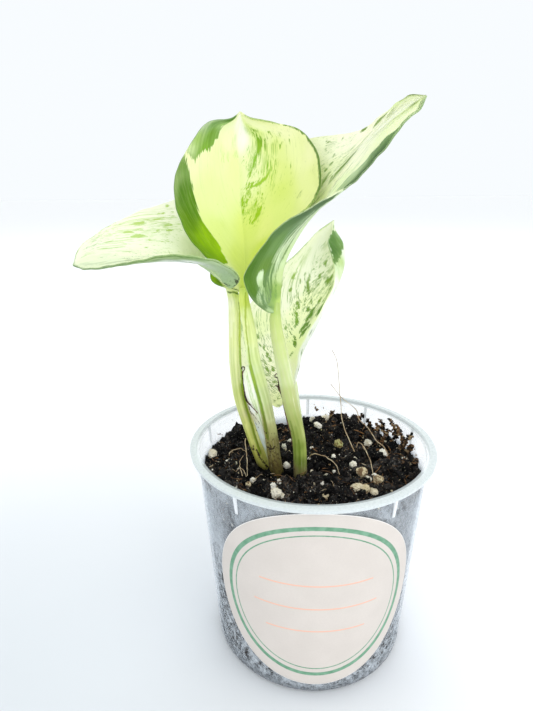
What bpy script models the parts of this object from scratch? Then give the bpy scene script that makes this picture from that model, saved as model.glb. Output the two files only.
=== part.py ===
"""A young variegated pothos in a small clear nursery pot, modelled piece by piece.

Run it with Blender 4.5. Lengths below are in millimetres and are turned into metres by MM.
The origin is the middle of the pot's base, +Z is up and -Y is the side that the label faces.
"""

import math
import random

import bpy
import bmesh
from mathutils import Matrix, Vector, noise

MM = 0.001
GAP = 0.3  # left between two pieces that touch
WELD = 0.000001  # metres within which points are one
SHARP_ANGLE = 40  # degrees, past which an edge is shaded sharp

# Pot
POT_HEIGHT = 58.7
RIM_RADIUS = 32.5
RIM_THICKNESS = 1.0
RIM_BEVEL = 0.3  # as a share of the rim's thickness
WALL_TOP_RADIUS = 30.5
BASE_RADIUS = 26.7
WALL = 0.6  # also the thickness of the base
BASE_CORNER = 2.0
FOOT_STEPS = 4
POT_STEPS = 48
RIB_HEIGHT = 6.0
RIB_WIDTH = 1.0
RIB_PROUD = 0.9
RIB_TURN = 2.5  # degrees that the ring of ribs is turned from the front
RIB_COUNT = 10
DRAIN_RADIUS = 2.5
DRAIN_CIRCLE = 15.0
DRAIN_COUNT = 5

# Label
LABEL_RADIUS = 26.3
LABEL_HEIGHT = 30.6
LABEL_SHIFT = 1.9  # along the wall, to the right of the front
LABEL_THICKNESS = 0.3
LABEL_RINGS = 6
LABEL_STEPS = 36

# Potting mix
SOIL_TOP = 51.5
SOIL_RISE_BACK = 1.6  # how much higher it lies at the back wall than in the middle
SOIL_WAVES = [(1.05, 0.11, 3.1), (1.2, 0.33, 7.7)]  # relief of the top: height, waves per mm, noise layer
SOIL_RINGS = 10
SOIL_BANDS = 4  # rows of faces down its side
SOIL_SEED = 11
LUMP_CIRCLE = 27.0  # lumps stay inside this radius
CLODS = {"count": 26, "sizes": (1.6, 2.8), "sunk": 0.65}
PERLITE = {"count": 22, "sizes": (1.0, 1.9), "sunk": 0.5}
STEM_ROOM = 5.5  # lumps keep this far from each stem
HOLE_DEPTH = 1.5  # how far a stalk's hole goes on past its foot

# Rooted cutting under the surface
CUTTING_RADIUS = 2.9
CUTTING_TAPER = (0.8, 1.0, 1.0, 1.0, 0.8)
CUTTING_PATH = [(-14.5, 4.0, 38.3), (-9.0, 1.2, 40.2), (-4.0, 0.8, 40.4), (1.5, 0.5, 39.6),
                (4.0, 0.0, 38.0)]
ROOT_COUNT = 7
ROOT_DEPTH = 22.0
ROOT_SPREAD = 7.5
ROOT_RADII = (1.1, 0.6)  # where it leaves the cutting and at its tip
ROOT_TURN = 2.4  # radians about the cutting from one root to the next
ROOT_SEED = 100

# Leaf stalks: (x, y, z, radius) from the foot on the cutting to the blade
STALKS = {
    "petiole_left": [
        (-10.5, 2.6, 43.6, 1.7), (-13.0, 0.5, 50.0, 1.7), (-17.4, 1.5, 63.0, 1.75), (-19.5, 2.0, 70.0, 1.65),
        (-20.5, 2.5, 80.0, 1.65), (-20.5, 3.5, 90.5, 1.6), (-20.8, 4.8, 96.0, 1.55),
        (-22.2, 6.2, 100.0, 1.4), (-24.6, 6.4, 103.0, 1.3), (-26.6, 4.7, 104.7, 1.2),
        (-27.2, 3.3, 105.2, 1.1),
    ],
    "petiole_center": [
        (-7.4, -1.4, 43.3, 1.8), (-9.2, -2.5, 51.0, 1.8), (-10.5, -3.0, 62.5, 1.8), (-12.0, -2.5, 71.0, 1.8),
        (-13.0, -2.0, 76.0, 1.7), (-14.5, -1.0, 82.0, 1.65), (-15.5, 0.0, 89.0, 1.4),
        (-17.3, 0.9, 96.5, 1.2), (-17.8, 1.0, 98.2, 1.1),
    ],
    "petiole_right": [
        (-2.2, -0.8, 43.5, 1.8), (-2.7, -5.0, 51.0, 1.8), (-3.1, -6.5, 61.5, 1.8), (-5.5, -7.0, 72.5, 1.8),
        (-7.5, -6.5, 83.5, 1.75), (-9.0, -6.0, 92.0, 1.45), (-9.0, -5.5, 94.4, 1.25),
    ],
    "petiole_back": [
        (-3.8, 3.4, 43.3, 1.4), (-2.5, 2.5, 48.5, 1.4), (-3.0, 4.0, 56.0, 1.3), (-4.5, 6.5, 66.0, 1.25),
        (-4.95, 7.9, 70.6, 1.15),
    ],
}
# The dried wing on the left of the centre stalk: its free edge, from soil to top
WING_EDGE = [(-12.5, -3.5, 61.5), (-14.0, -3.5, 65.5), (-15.5, -3.2, 68.7), (-17.0, -3.0, 71.8),
             (-17.6, -2.5, 75.5), (-17.6, -2.0, 80.0)]
WING_ROOT = [(-10.3, -3.0, 58.5), (-10.8, -3.0, 64.0), (-12.0, -2.5, 70.0), (-13.2, -2.0, 76.0),
             (-14.3, -1.2, 81.0)]
WING_STEPS = 8

# Blades: the midrib and the two margins from the stalk to the tip, and how far each half bellies
# out between midrib and margin at a fifth, a half and four fifths of its length
BLADE_THICKNESS = 0.7
BLADE_LENGTHWISE = 24  # rows of faces from stalk to tip
BLADE_ACROSS = 6  # rows of faces in each half
MIDRIB_LAG = 1.5  # the midrib starts slower than the margins, which first go round the lobes
BELLY_SHARES = (0.0, 0.2, 0.5, 0.8, 1.0)
BLADES = {
    "leaf_center": {
        "midrib": [(-18, 1, 98.5), (-17, 0.5, 103.5), (-17.5, 3, 111), (-18.5, 6.5, 119.5), (-19, 9, 129),
                   (-19, 10, 136), (-18.5, 9, 141)],
        "left": [(-18, 1, 98.5), (-21.5, -1, 100), (-25, -2, 102), (-25.2, -2.3, 106.5), (-29, -3, 111),
                 (-32.5, -2, 118), (-33, 0, 126), (-30, 3.5, 133), (-26, 6.5, 138.5), (-20.5, 8.5, 139.5),
                 (-18.5, 9, 141)],
        "left_belly": [(-1, 1.5, 0), (-1.5, 3.5, 0), (-1, 2, 0.5)],
        "right": [(-18, 1, 98.5), (-15.5, -1, 100.5), (-13, -3, 104.5), (-10, -5.5, 109.5), (-7, -7.5, 114),
                  (-4, -8.5, 117), (-1.8, -9, 119), (0, -8.5, 121.5), (1, -6.5, 125), (0, -2, 131),
                  (-4, 3, 136), (-9.5, 7, 138), (-16, 8.5, 139.5), (-18.5, 9, 141)],
        "right_belly": [(1, 1.5, 0), (1.5, 3.5, 0), (1, 2, 0.5)],
    },
    "leaf_left": {
        "midrib": [(-28, 1.5, 106), (-33, -0.5, 107.5), (-38, -2.5, 108), (-44, -4.5, 108),
                   (-51.5, -5.5, 107.5), (-58, -6, 106)],
        "left": [(-28, 1.5, 106), (-25, -4.3, 105.2), (-22.5, -6, 103), (-19.5, -7.5, 101), (-17, -10, 103.5),
                 (-19.5, -13, 107), (-24, -16, 109), (-29, -17.5, 109.5), (-34.5, -18, 109),
                 (-40.5, -17, 108), (-48, -13, 106.5), (-54.5, -8.5, 105.5), (-58, -6, 106)],
        "left_belly": [(0, 0.5, 1), (0, -2, -2), (0, -1, -1.5)],
        "right": [(-28, 1.5, 106), (-27, 5.5, 107.8), (-25, 11, 111), (-26, 16, 116.5), (-32, 17.5, 121.5),
                  (-38.5, 16, 120.5), (-44.5, 13.5, 118), (-50, 10.5, 115.5), (-53.5, 7, 113), (-56, 3, 111),
                  (-57.5, -2, 108.5), (-58, -6, 106)],
        "right_belly": [(0, 1, -1.5), (0, 2, -2), (0, 1, -1)],
    },
    "leaf_right": {
        "midrib": [(-9, -5, 95.5), (-8.5, -4.5, 101.5), (-7.5, -4, 106.5), (-5, -4, 111.5), (-2, -5, 116),
                   (1.5, -7, 120), (5, -10, 125), (9, -14, 130.5), (14, -19, 135), (19, -23, 138)],
        "left": [(-9, -5, 95.5), (-10, -7, 95), (-13, -9.5, 97.5), (-15, -11.5, 101), (-15.5, -12.5, 104.5),
                 (-13.5, -13, 108), (-10.5, -13, 112), (-6.5, -13.5, 116), (-0.5, -14.5, 119.5),
                 (5.5, -18, 122.5), (9.5, -22, 126), (12, -25.5, 129), (14, -26, 132.5), (16, -25, 134.5),
                 (18, -24, 136), (19, -23, 138)],
        "left_belly": [(-0.3, -2, 0.5), (0.5, -2, 0), (0, -1, 0)],
        "right": [(-9, -5, 95.5), (-10.5, 1, 98.5), (-12, 8, 104.5), (-13.5, 13, 111.5), (-13.5, 15.5, 120.5),
                  (-11, 15, 128.5), (-6.5, 11.5, 133), (-1, 7, 134.5), (5.5, 0, 134.5), (9, -5, 134.5),
                  (11.5, -8.5, 135.5), (13.5, -13, 137), (15.5, -17.5, 138), (17, -20.5, 138.5),
                  (19, -23, 138)],
        "right_belly": [(0, 1, -0.5), (1, 1.5, -1), (0.5, 0.5, -1)],
    },
    "leaf_back": {
        "midrib": [(-5.5, 9, 72.5), (-4.5, 13, 81.5), (-3, 17, 92), (-1, 20, 101), (1.5, 21, 108),
                   (5, 20, 115)],
        "left": [(-5.5, 9, 72.5), (-7, 8.5, 67), (-9.5, 8.5, 64), (-13, 10, 65.5), (-18, 12, 70.5),
                 (-21.5, 14, 79), (-20.5, 16, 88), (-15.5, 18, 95), (-9, 19.5, 101.5), (-2.5, 20.5, 107),
                 (1.5, 20.5, 111.5), (5, 20, 115)],
        "left_belly": [(-1, 1.5, 0), (-1, 3, 0), (0, 1, 0)],
        "right": [(-5.5, 9, 72.5), (-5, 7.5, 71.5), (-4.3, 6.5, 76.5), (-3, 6, 82.5), (-0.5, 7, 88),
                  (2.3, 9, 93), (5, 11, 97.5), (5.5, 12.5, 102), (4.5, 14, 106), (3.5, 16, 109.5),
                  (4.5, 18, 112), (5, 20, 115)],
        "right_belly": [(2, 1, 0), (5.5, 2, 0), (12.5, 2, 1)],
    },
}


def clear_scene():
    for obj in list(bpy.data.objects):
        bpy.data.objects.remove(obj, do_unlink=True)


def new_collection(name, helper=False):
    made = bpy.data.collections.new(name)
    bpy.context.scene.collection.children.link(made)
    made.hide_render = helper
    return made


def material(name, colour, roughness, transmission=0.0):
    made = bpy.data.materials.new(name)
    made.use_nodes = True
    shader = made.node_tree.nodes["Principled BSDF"]
    shader.inputs["Base Color"].default_value = (*colour, 1.0)
    shader.inputs["Roughness"].default_value = roughness
    shader.inputs["Metallic"].default_value = 0.0
    shader.inputs["Transmission Weight"].default_value = transmission
    return made


def smooth_point(points, share):
    """The point at a share of the way along a smooth curve through the points (centripetal Catmull-Rom)."""
    ends = [points[0] * 2 - points[1]] + list(points) + [points[-1] * 2 - points[-2]]
    knots = [0.0]
    for before, after in zip(ends, ends[1:]):
        knots.append(knots[-1] + math.sqrt((after - before).length))
    t = knots[1] + (knots[-2] - knots[1]) * share
    i = 1
    while i < len(points) - 1 and t > knots[i + 1]:
        i += 1
    t0, t1, t2, t3 = knots[i - 1:i + 3]
    p0, p1, p2, p3 = ends[i - 1:i + 3]
    a1 = p0.lerp(p1, (t - t0) / (t1 - t0))
    a2 = p1.lerp(p2, (t - t1) / (t2 - t1))
    a3 = p2.lerp(p3, (t - t2) / (t3 - t2))
    b1 = a1.lerp(a2, (t - t0) / (t2 - t0))
    b2 = a2.lerp(a3, (t - t1) / (t3 - t1))
    return b1.lerp(b2, (t - t1) / (t2 - t1))


def vectors(points):
    return [Vector(point[:3]) * MM for point in points]


def link(obj, collection):
    collection.objects.link(obj)
    return obj


def only_in(obj, collection):
    for home in list(obj.users_collection):
        home.objects.unlink(obj)
    collection.objects.link(obj)


def turned(name, profile, steps, collection):
    """A closed solid turned about Z from (radius, height) points that run down its outer side."""
    mesh = bpy.data.meshes.new(name)
    points = [(radius * MM, 0, height * MM) for radius, height in profile]
    mesh.from_pydata(points, [(i, i + 1) for i in range(len(points) - 1)], [])
    obj = link(bpy.data.objects.new(name, mesh), collection)
    screw = obj.modifiers.new("Turn", "SCREW")
    screw.steps = steps
    screw.render_steps = steps
    screw.use_merge_vertices = True
    screw.merge_threshold = WELD
    return obj


def apply_all(obj):
    """The object with its modifiers made part of its mesh."""
    bpy.context.view_layer.update()
    graph = bpy.context.evaluated_depsgraph_get()
    mesh = bpy.data.meshes.new_from_object(obj.evaluated_get(graph))
    obj.modifiers.clear()
    if obj.type == "MESH":
        old = obj.data
        obj.data = mesh
        bpy.data.meshes.remove(old)
        return obj
    made = bpy.data.objects.new(obj.name, mesh)
    made.matrix_world = obj.matrix_world
    obj.users_collection[0].objects.link(made)
    name = obj.name
    bpy.data.objects.remove(obj, do_unlink=True)
    made.name = name
    return made


def shade(obj):
    """Smooth shading that keeps real corners sharp."""
    obj.data.shade_smooth()
    obj.data.set_sharp_from_angle(angle=math.radians(SHARP_ANGLE))


def weld(obj):
    shape = bmesh.new()
    shape.from_mesh(obj.data)
    bmesh.ops.remove_doubles(shape, verts=shape.verts, dist=WELD)
    bmesh.ops.recalc_face_normals(shape, faces=shape.faces)
    shape.to_mesh(obj.data)
    shape.free()


def boolean(obj, operation, other=None, collection=None):
    cut = obj.modifiers.new(operation.title(), "BOOLEAN")
    cut.operation = operation
    cut.solver = "EXACT"
    if collection:
        cut.operand_type = "COLLECTION"
        cut.collection = collection
    else:
        cut.object = other
    apply_all(obj)


def remove_objects(collection):
    for obj in list(collection.objects):
        bpy.data.objects.remove(obj, do_unlink=True)
    bpy.data.collections.remove(collection)


def tube(name, stations, collection, extra=0.0, pieces=None, resolution=2):
    """A solid tube through (x, y, z, radius) stations, as a welded mesh."""
    path = vectors(stations)
    count = pieces or 2 * (len(stations) - 1)
    curve = bpy.data.curves.new(name, "CURVE")
    curve.dimensions = "3D"
    curve.bevel_depth = MM
    curve.bevel_resolution = resolution
    curve.use_fill_caps = True
    line = curve.splines.new("POLY")
    line.points.add(count)
    widths = [Vector((station[3], 0, 0)) for station in stations]
    for i, point in enumerate(line.points):
        share = i / count
        place = smooth_point(path, share)
        step = share * (len(widths) - 1)
        low = min(int(step), len(widths) - 2)
        width = widths[low].lerp(widths[low + 1], step - low).x
        point.co = (*place, 1.0)
        point.radius = width + extra
    obj = apply_all(link(bpy.data.objects.new(name, curve), collection))
    weld(obj)
    return obj


def wall_radius(height):
    """Outer radius of the pot's wall at a height."""
    share = (height - BASE_CORNER) / (POT_HEIGHT - RIM_THICKNESS - BASE_CORNER)
    return BASE_RADIUS + (WALL_TOP_RADIUS - BASE_RADIUS) * share


def foot_arc(radius):
    """The rounded foot of the pot, from wall down to base, at a radius about its corner's centre."""
    turns = [math.pi / 2 * i / FOOT_STEPS for i in range(FOOT_STEPS + 1)]
    return [(BASE_RADIUS - BASE_CORNER + radius * math.cos(turn), BASE_CORNER - radius * math.sin(turn))
            for turn in turns]


def pot(parts, helpers):
    under_rim = POT_HEIGHT - RIM_THICKNESS
    inner_top = WALL_TOP_RADIUS - WALL
    bevel = RIM_THICKNESS * RIM_BEVEL
    inside = [(0, WALL)] + foot_arc(BASE_CORNER - WALL)[::-1]
    rim = [(inner_top, POT_HEIGHT - bevel), (inner_top + bevel, POT_HEIGHT), (RIM_RADIUS - bevel, POT_HEIGHT),
           (RIM_RADIUS, POT_HEIGHT - bevel), (RIM_RADIUS, under_rim + bevel), (RIM_RADIUS - bevel, under_rim),
           (WALL_TOP_RADIUS, under_rim)]
    outside = foot_arc(BASE_CORNER) + [(0, 0)]
    obj = turned("pot", inside + rim + outside, POT_STEPS, parts)
    apply_all(obj)
    weld(obj)
    add_ribs(obj, under_rim)
    cut_drains(obj, helpers)
    shade(obj)
    obj.data.materials.append(material("clear_plastic", (0.86, 0.90, 0.93), 0.25, 0.7))


def add_ribs(obj, under_rim):
    """The small upright ribs under the rim. The front one, which the label would cover, is left out."""
    ribs = new_collection("ribs", helper=True)
    for i in range(1, RIB_COUNT):
        angle = math.radians(RIB_TURN + 360 / RIB_COUNT * i - 90)
        middle = wall_radius(under_rim - RIB_HEIGHT / 2)
        inner = middle - WALL / 2
        outer = middle + RIB_PROUD
        bpy.ops.mesh.primitive_cube_add(size=1)
        rib = bpy.context.object
        rib.scale = ((outer - inner) * MM, RIB_WIDTH * MM, (RIB_HEIGHT + RIM_THICKNESS / 2) * MM)
        rib.rotation_euler = (0, 0, angle)
        reach = (inner + outer) / 2 * MM
        rib.location = (reach * math.cos(angle), reach * math.sin(angle),
                        (under_rim - RIB_HEIGHT / 2 + RIM_THICKNESS / 4) * MM)
        only_in(rib, ribs)
    boolean(obj, "UNION", collection=ribs)
    remove_objects(ribs)


def cut_drains(obj, helpers):
    for i in range(DRAIN_COUNT):
        angle = 2 * math.pi * i / DRAIN_COUNT
        bpy.ops.mesh.primitive_cylinder_add(
            vertices=12, radius=DRAIN_RADIUS * MM, depth=4 * WALL * MM,
            location=Vector((DRAIN_CIRCLE * math.cos(angle), DRAIN_CIRCLE * math.sin(angle), WALL / 2)) * MM)
        drill = bpy.context.object
        only_in(drill, helpers)
        boolean(obj, "DIFFERENCE", other=drill)
        bpy.data.objects.remove(drill, do_unlink=True)


def label(parts):
    """A round paper label wrapped on the wall."""
    flat = [(LABEL_RADIUS * i / LABEL_RINGS, 0) for i in range(LABEL_RINGS, -1, -1)]
    obj = turned("label", flat, LABEL_STEPS, parts)
    apply_all(obj)
    weld(obj)
    for vertex in obj.data.vertices:
        along, up = vertex.co.x / MM + LABEL_SHIFT, vertex.co.y / MM + LABEL_HEIGHT
        radius = wall_radius(up) + GAP + LABEL_THICKNESS / 2
        angle = along / wall_radius(up)
        vertex.co = Vector((radius * math.sin(angle), -radius * math.cos(angle), up)) * MM
    thick = obj.modifiers.new("Thickness", "SOLIDIFY")
    thick.thickness = LABEL_THICKNESS * MM
    thick.offset = 0
    obj.data.materials.append(material("label_paper", (0.82, 0.76, 0.72), 0.6))


def soil_height(x, y):
    """Height of the potting mix at a place, in millimetres."""
    relief = sum(height * noise.noise(Vector((x * pitch, y * pitch, layer)))
                 for height, pitch, layer in SOIL_WAVES)
    return SOIL_TOP + SOIL_RISE_BACK * y / BASE_RADIUS + relief


def soil_radius(height):
    """Radius of the plug of potting mix at a height, just inside the wall."""
    return wall_radius(height) - WALL - GAP


def lump(centre, size, seed, home):
    """One lump of peat or perlite: a small faceted stone."""
    bpy.ops.mesh.primitive_ico_sphere_add(subdivisions=1, radius=size * MM)
    obj = bpy.context.object
    draw = random.Random(seed)
    squash = (draw.uniform(0.8, 1.15), draw.uniform(0.8, 1.15), draw.uniform(0.7, 0.95))
    spin = draw.uniform(0, math.pi)
    for vertex in obj.data.vertices:
        x, y, z = (vertex.co[k] * squash[k] * draw.uniform(0.9, 1.1) for k in range(3))
        vertex.co = Matrix.Rotation(spin, 3, "Z") @ Vector((x, y, z)) + centre * MM
    only_in(obj, home)


def near_stem(x, y):
    return any(math.hypot(x - stations[1][0], y - stations[1][1]) < STEM_ROOM
               for stations in STALKS.values())


def scatter(home, kind, draw):
    """Lumps at random over the surface, clear of the stems, of the wall and of each other."""
    placed = []
    while len(placed) < kind["count"]:
        size = draw.uniform(*kind["sizes"])
        radius = (LUMP_CIRCLE - size) * math.sqrt(draw.random())
        angle = draw.uniform(0, 2 * math.pi)
        x, y = radius * math.cos(angle), radius * math.sin(angle)
        crowded = any(math.hypot(x - a, y - b) < size + other for a, b, other in placed)
        if crowded or near_stem(x, y):
            continue
        placed.append((x, y, size))
        centre = Vector((x, y, soil_height(x, y) + size * (1 - kind["sunk"])))
        lump(centre, size, draw.randrange(10 ** 6), home)


def soil_plug(parts):
    """The plug of potting mix with its relief on top, before the lumps and holes."""
    floor = WALL + GAP
    profile = [(soil_radius(SOIL_TOP) * i / SOIL_RINGS, SOIL_TOP) for i in range(SOIL_RINGS + 1)]
    corner = floor + BASE_CORNER
    for i in range(SOIL_BANDS - 1, -1, -1):
        height = corner + (SOIL_TOP - corner) * i / SOIL_BANDS
        profile.append((soil_radius(height), height))
    profile.append((soil_radius(corner) - BASE_CORNER, floor))
    profile.append((0, floor))
    obj = turned("soil", profile, POT_STEPS, parts)
    apply_all(obj)
    weld(obj)
    for vertex in obj.data.vertices:
        x, y, z = vertex.co / MM
        if abs(z - SOIL_TOP) < GAP / 10:
            z = soil_height(x, y)
            reach = min(1.0, soil_radius(z) / max(math.hypot(x, y), GAP))
            vertex.co = Vector((x * reach, y * reach, z)) * MM
    return obj


def soil(parts, helpers):
    """The potting mix: a plug that fills the pot, with a lumpy top and plain holes for the stems."""
    obj = soil_plug(parts)
    draw = random.Random(SOIL_SEED)
    lumps = new_collection("lumps", helper=True)
    scatter(lumps, CLODS, draw)
    scatter(lumps, PERLITE, draw)
    boolean(obj, "UNION", collection=lumps)
    remove_objects(lumps)
    drills = [tube(name + "_hole", longer(stations[:3], HOLE_DEPTH), helpers, extra=GAP, pieces=6)
              for name, stations in STALKS.items()]
    drills.append(rooted_cutting("cutting_hole", helpers, extra=GAP))
    for drill in drills:
        boolean(obj, "DIFFERENCE", other=drill)
        bpy.data.objects.remove(drill, do_unlink=True)
    obj.data.materials.append(material("potting_mix", (0.035, 0.027, 0.022), 0.95))


def longer(stations, reach):
    """The stations with both ends carried on straight by a length, so that a hole outreaches its stem."""
    result = list(stations)
    for end, inner in ((0, 1), (-1, -2)):
        tip, before = Vector(stations[end][:3]), Vector(stations[inner][:3])
        tip += (tip - before).normalized() * reach
        result[end] = (*tip, stations[end][3])
    return result


def root_stations(index):
    """A root leaves the underside of the cutting and curves outwards and down."""
    draw = random.Random(ROOT_SEED + index)
    start = smooth_point(vectors(CUTTING_PATH), 0.1 + 0.8 * (index + 0.5) / ROOT_COUNT) / MM
    turn = ROOT_TURN * index + draw.uniform(-0.3, 0.3)
    out = Vector((math.cos(turn), math.sin(turn), 0))
    thick, thin = ROOT_RADII
    stations = []
    for i in range(5):
        along = i / 4
        drop = CUTTING_RADIUS * 0.4 + ROOT_DEPTH * along * draw.uniform(0.75, 0.85)
        place = start + out * ROOT_SPREAD * math.sin(along * math.pi / 2) - Vector((0, 0, drop))
        stations.append((*place, thick + (thin - thick) * along))
    return stations


def rooted_cutting(name, home, extra=0.0):
    """The short piece of stem that the leaves grow from, with its roots, as one solid."""
    body = [(*point, CUTTING_RADIUS * scale) for point, scale in zip(CUTTING_PATH, CUTTING_TAPER)]
    obj = tube(name, longer(body, extra), home, extra=extra, pieces=10)
    roots = new_collection(name + "_roots", helper=True)
    for index in range(ROOT_COUNT):
        stations = longer(root_stations(index), extra)
        tube(name + "_root", stations, roots, extra=extra, pieces=6, resolution=1)
    boolean(obj, "UNION", collection=roots)
    remove_objects(roots)
    return obj


def wing(parts):
    """The thin dried wing that clasps the foot of the centre stalk."""
    bpy.ops.mesh.primitive_grid_add(x_subdivisions=WING_STEPS, y_subdivisions=2, size=2)
    obj = bpy.context.object
    free, root = vectors(WING_EDGE), vectors(WING_ROOT)
    for vertex in obj.data.vertices:
        along, out = (vertex.co.x + 1) / 2, (vertex.co.y + 1) / 2
        vertex.co = smooth_point(root, along).lerp(smooth_point(free, along), out)
    only_in(obj, parts)
    triangulate(obj)
    thick = obj.modifiers.new("Thickness", "SOLIDIFY")
    thick.thickness = BLADE_THICKNESS * MM
    thick.offset = 0
    apply_all(obj)
    weld(obj)
    return obj


def triangulate(obj):
    shape = bmesh.new()
    shape.from_mesh(obj.data)
    bmesh.ops.remove_doubles(shape, verts=shape.verts, dist=WELD)
    bmesh.ops.triangulate(shape, faces=shape.faces, quad_method="FIXED")
    shape.to_mesh(obj.data)
    shape.free()


def stalks(parts):
    green = (0.62, 0.72, 0.36)
    for name, stations in STALKS.items():
        obj = tube(name, stations, parts)
        if name == "petiole_center":
            clasp = wing(parts)
            boolean(obj, "UNION", other=clasp)
            bpy.data.objects.remove(clasp, do_unlink=True)
        obj.data.materials.append(material(name + "_skin", green, 0.45))


def belly(values, share):
    """How far a half of the blade bellies out at a share of its length."""
    stops = [Vector((0, 0, 0))] + vectors(values) + [Vector((0, 0, 0))]
    for i in range(len(BELLY_SHARES) - 1):
        low, high = BELLY_SHARES[i:i + 2]
        if share <= high:
            t = (share - low) / (high - low)
            return stops[i].lerp(stops[i + 1], t * t * (3 - 2 * t))
    return stops[-1]


def blade_point(leaf, along, across):
    """A point of the blade. Along runs from stalk to tip, across from -1 (left margin) to 1 (right)."""
    rib = smooth_point(leaf["midrib"], along ** MIDRIB_LAG)
    side = "left" if across < 0 else "right"
    margin = smooth_point(leaf[side], along)
    middle = rib.lerp(margin, 0.5) + belly(leaf[side + "_belly"], along)
    out = abs(across)
    return rib.lerp(middle, out).lerp(middle.lerp(margin, out), out)


def blade(name, lines, parts):
    leaf = {key: points if key.endswith("belly") else vectors(points) for key, points in lines.items()}
    bpy.ops.mesh.primitive_grid_add(x_subdivisions=BLADE_LENGTHWISE, y_subdivisions=2 * BLADE_ACROSS, size=2)
    obj = bpy.context.object
    obj.name = name
    obj.data.name = name
    for vertex in obj.data.vertices:
        vertex.co = blade_point(leaf, (vertex.co.x + 1) / 2, vertex.co.y)
    only_in(obj, parts)
    triangulate(obj)
    thick = obj.modifiers.new("Thickness", "SOLIDIFY")
    thick.thickness = BLADE_THICKNESS * MM
    thick.offset = 0
    for polygon in obj.data.polygons:
        polygon.use_smooth = True
    obj.data.materials.append(material(name + "_blade", (0.72, 0.82, 0.45), 0.4))


def main():
    clear_scene()
    parts = new_collection("potted_variegated_pothos")
    helpers = new_collection("cutters", helper=True)
    pot(parts, helpers)
    label(parts)
    soil(parts, helpers)
    cutting = rooted_cutting("rooted_cutting", parts)
    cutting.data.materials.append(material("cutting_bark", (0.36, 0.38, 0.20), 0.7))
    stalks(parts)
    for name, lines in BLADES.items():
        blade(name, lines, parts)


main()
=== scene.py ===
"""Looks of a young variegated pothos in a small clear nursery pot.

Run it as a script in Blender 4.5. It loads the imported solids, makes each visible piece over them
and sets up the floor, the lights and the camera. Lengths in the tables are millimetres.
"""

import math
import random

import bpy
import numpy as np
from bpy.props import FloatProperty, FloatVectorProperty, IntProperty, PointerProperty
from mathutils import Matrix, Vector, noise


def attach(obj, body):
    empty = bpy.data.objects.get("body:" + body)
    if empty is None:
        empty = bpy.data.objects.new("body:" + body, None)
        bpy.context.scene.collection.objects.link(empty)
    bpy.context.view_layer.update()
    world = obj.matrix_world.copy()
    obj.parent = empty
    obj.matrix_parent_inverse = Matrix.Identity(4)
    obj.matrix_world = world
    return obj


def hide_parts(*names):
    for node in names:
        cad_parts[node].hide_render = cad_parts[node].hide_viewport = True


bl_info = {
    "name": "Potted variegated pothos",
    "version": (1, 0, 0),
    "blender": (4, 5, 0),
    "location": "3D View > Sidebar > Pothos",
    "description": "Makes the leaves, stalks, potting mix, clear pot and label of a young pothos",
    "category": "Add Mesh",
}

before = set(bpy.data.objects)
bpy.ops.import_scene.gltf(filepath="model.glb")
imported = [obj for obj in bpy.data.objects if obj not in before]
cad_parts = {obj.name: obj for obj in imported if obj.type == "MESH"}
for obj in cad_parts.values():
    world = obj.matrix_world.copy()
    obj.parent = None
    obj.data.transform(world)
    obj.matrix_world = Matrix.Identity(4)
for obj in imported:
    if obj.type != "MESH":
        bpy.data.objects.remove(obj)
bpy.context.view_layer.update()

MM = 0.001
BODY = "root"
WELD = 0.000002

# Pot, in millimetres
POT_HEIGHT = 58.7
RIM_RADIUS = 32.5
RIM_THICKNESS = 1.0
WALL_TOP_RADIUS = 30.5
BASE_RADIUS = 26.7
WALL = 0.6
BASE_CORNER = 2.0
POT_STEPS = 144
RIB_HEIGHT = 6.0
RIB_WIDTH = 0.9
RIB_PROUD = 0.8
RIB_TURN = 2.5
RIB_COUNT = 10
DRAIN_RADIUS = 2.5
DRAIN_CIRCLE = 15.0
DRAIN_COUNT = 5
GAP = 0.3

# Label
LABEL_RADIUS = 26.3
LABEL_HEIGHT = 30.6
LABEL_SHIFT = 1.9
LABEL_THICKNESS = 0.3

# Potting mix
SOIL_TOP = 51.5
SOIL_RISE_BACK = 1.6
SOIL_WAVES = [(1.0, 0.11, 3.1), (0.9, 0.3, 7.7), (0.7, 1.9, 5.2)]
SOIL_REACH = 28.9

# Hollows of the surface: x, y, width, depth (less than 0 for a bank)
SOIL_DIPS = [(-7, 25, 8, 4.2), (20, 17, 8, 2.2), (-11, -2, 4.5, 2.3), (-7, -4, 3, 1), (-1.5, -7, 3.2, -0.9),
        (4, 3, 4.5, 1.5), (12, 22, 5, -0.8), (-22, 8, 4, -0.6), (12, -12, 5, -0.3), (3.8, -4.2, 3.4, 2),
        (-3, 1, 2.4, 1.2), (1.5, 13.5, 4, 1.6), (19.5, 6, 3.4, 1.3), (20, -3, 3.2, 1.2), (-24, -2, 3, 1),
        (-12.5, -13.5, 3, 0.8), (12, 15, 3, 1.2)]
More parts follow.
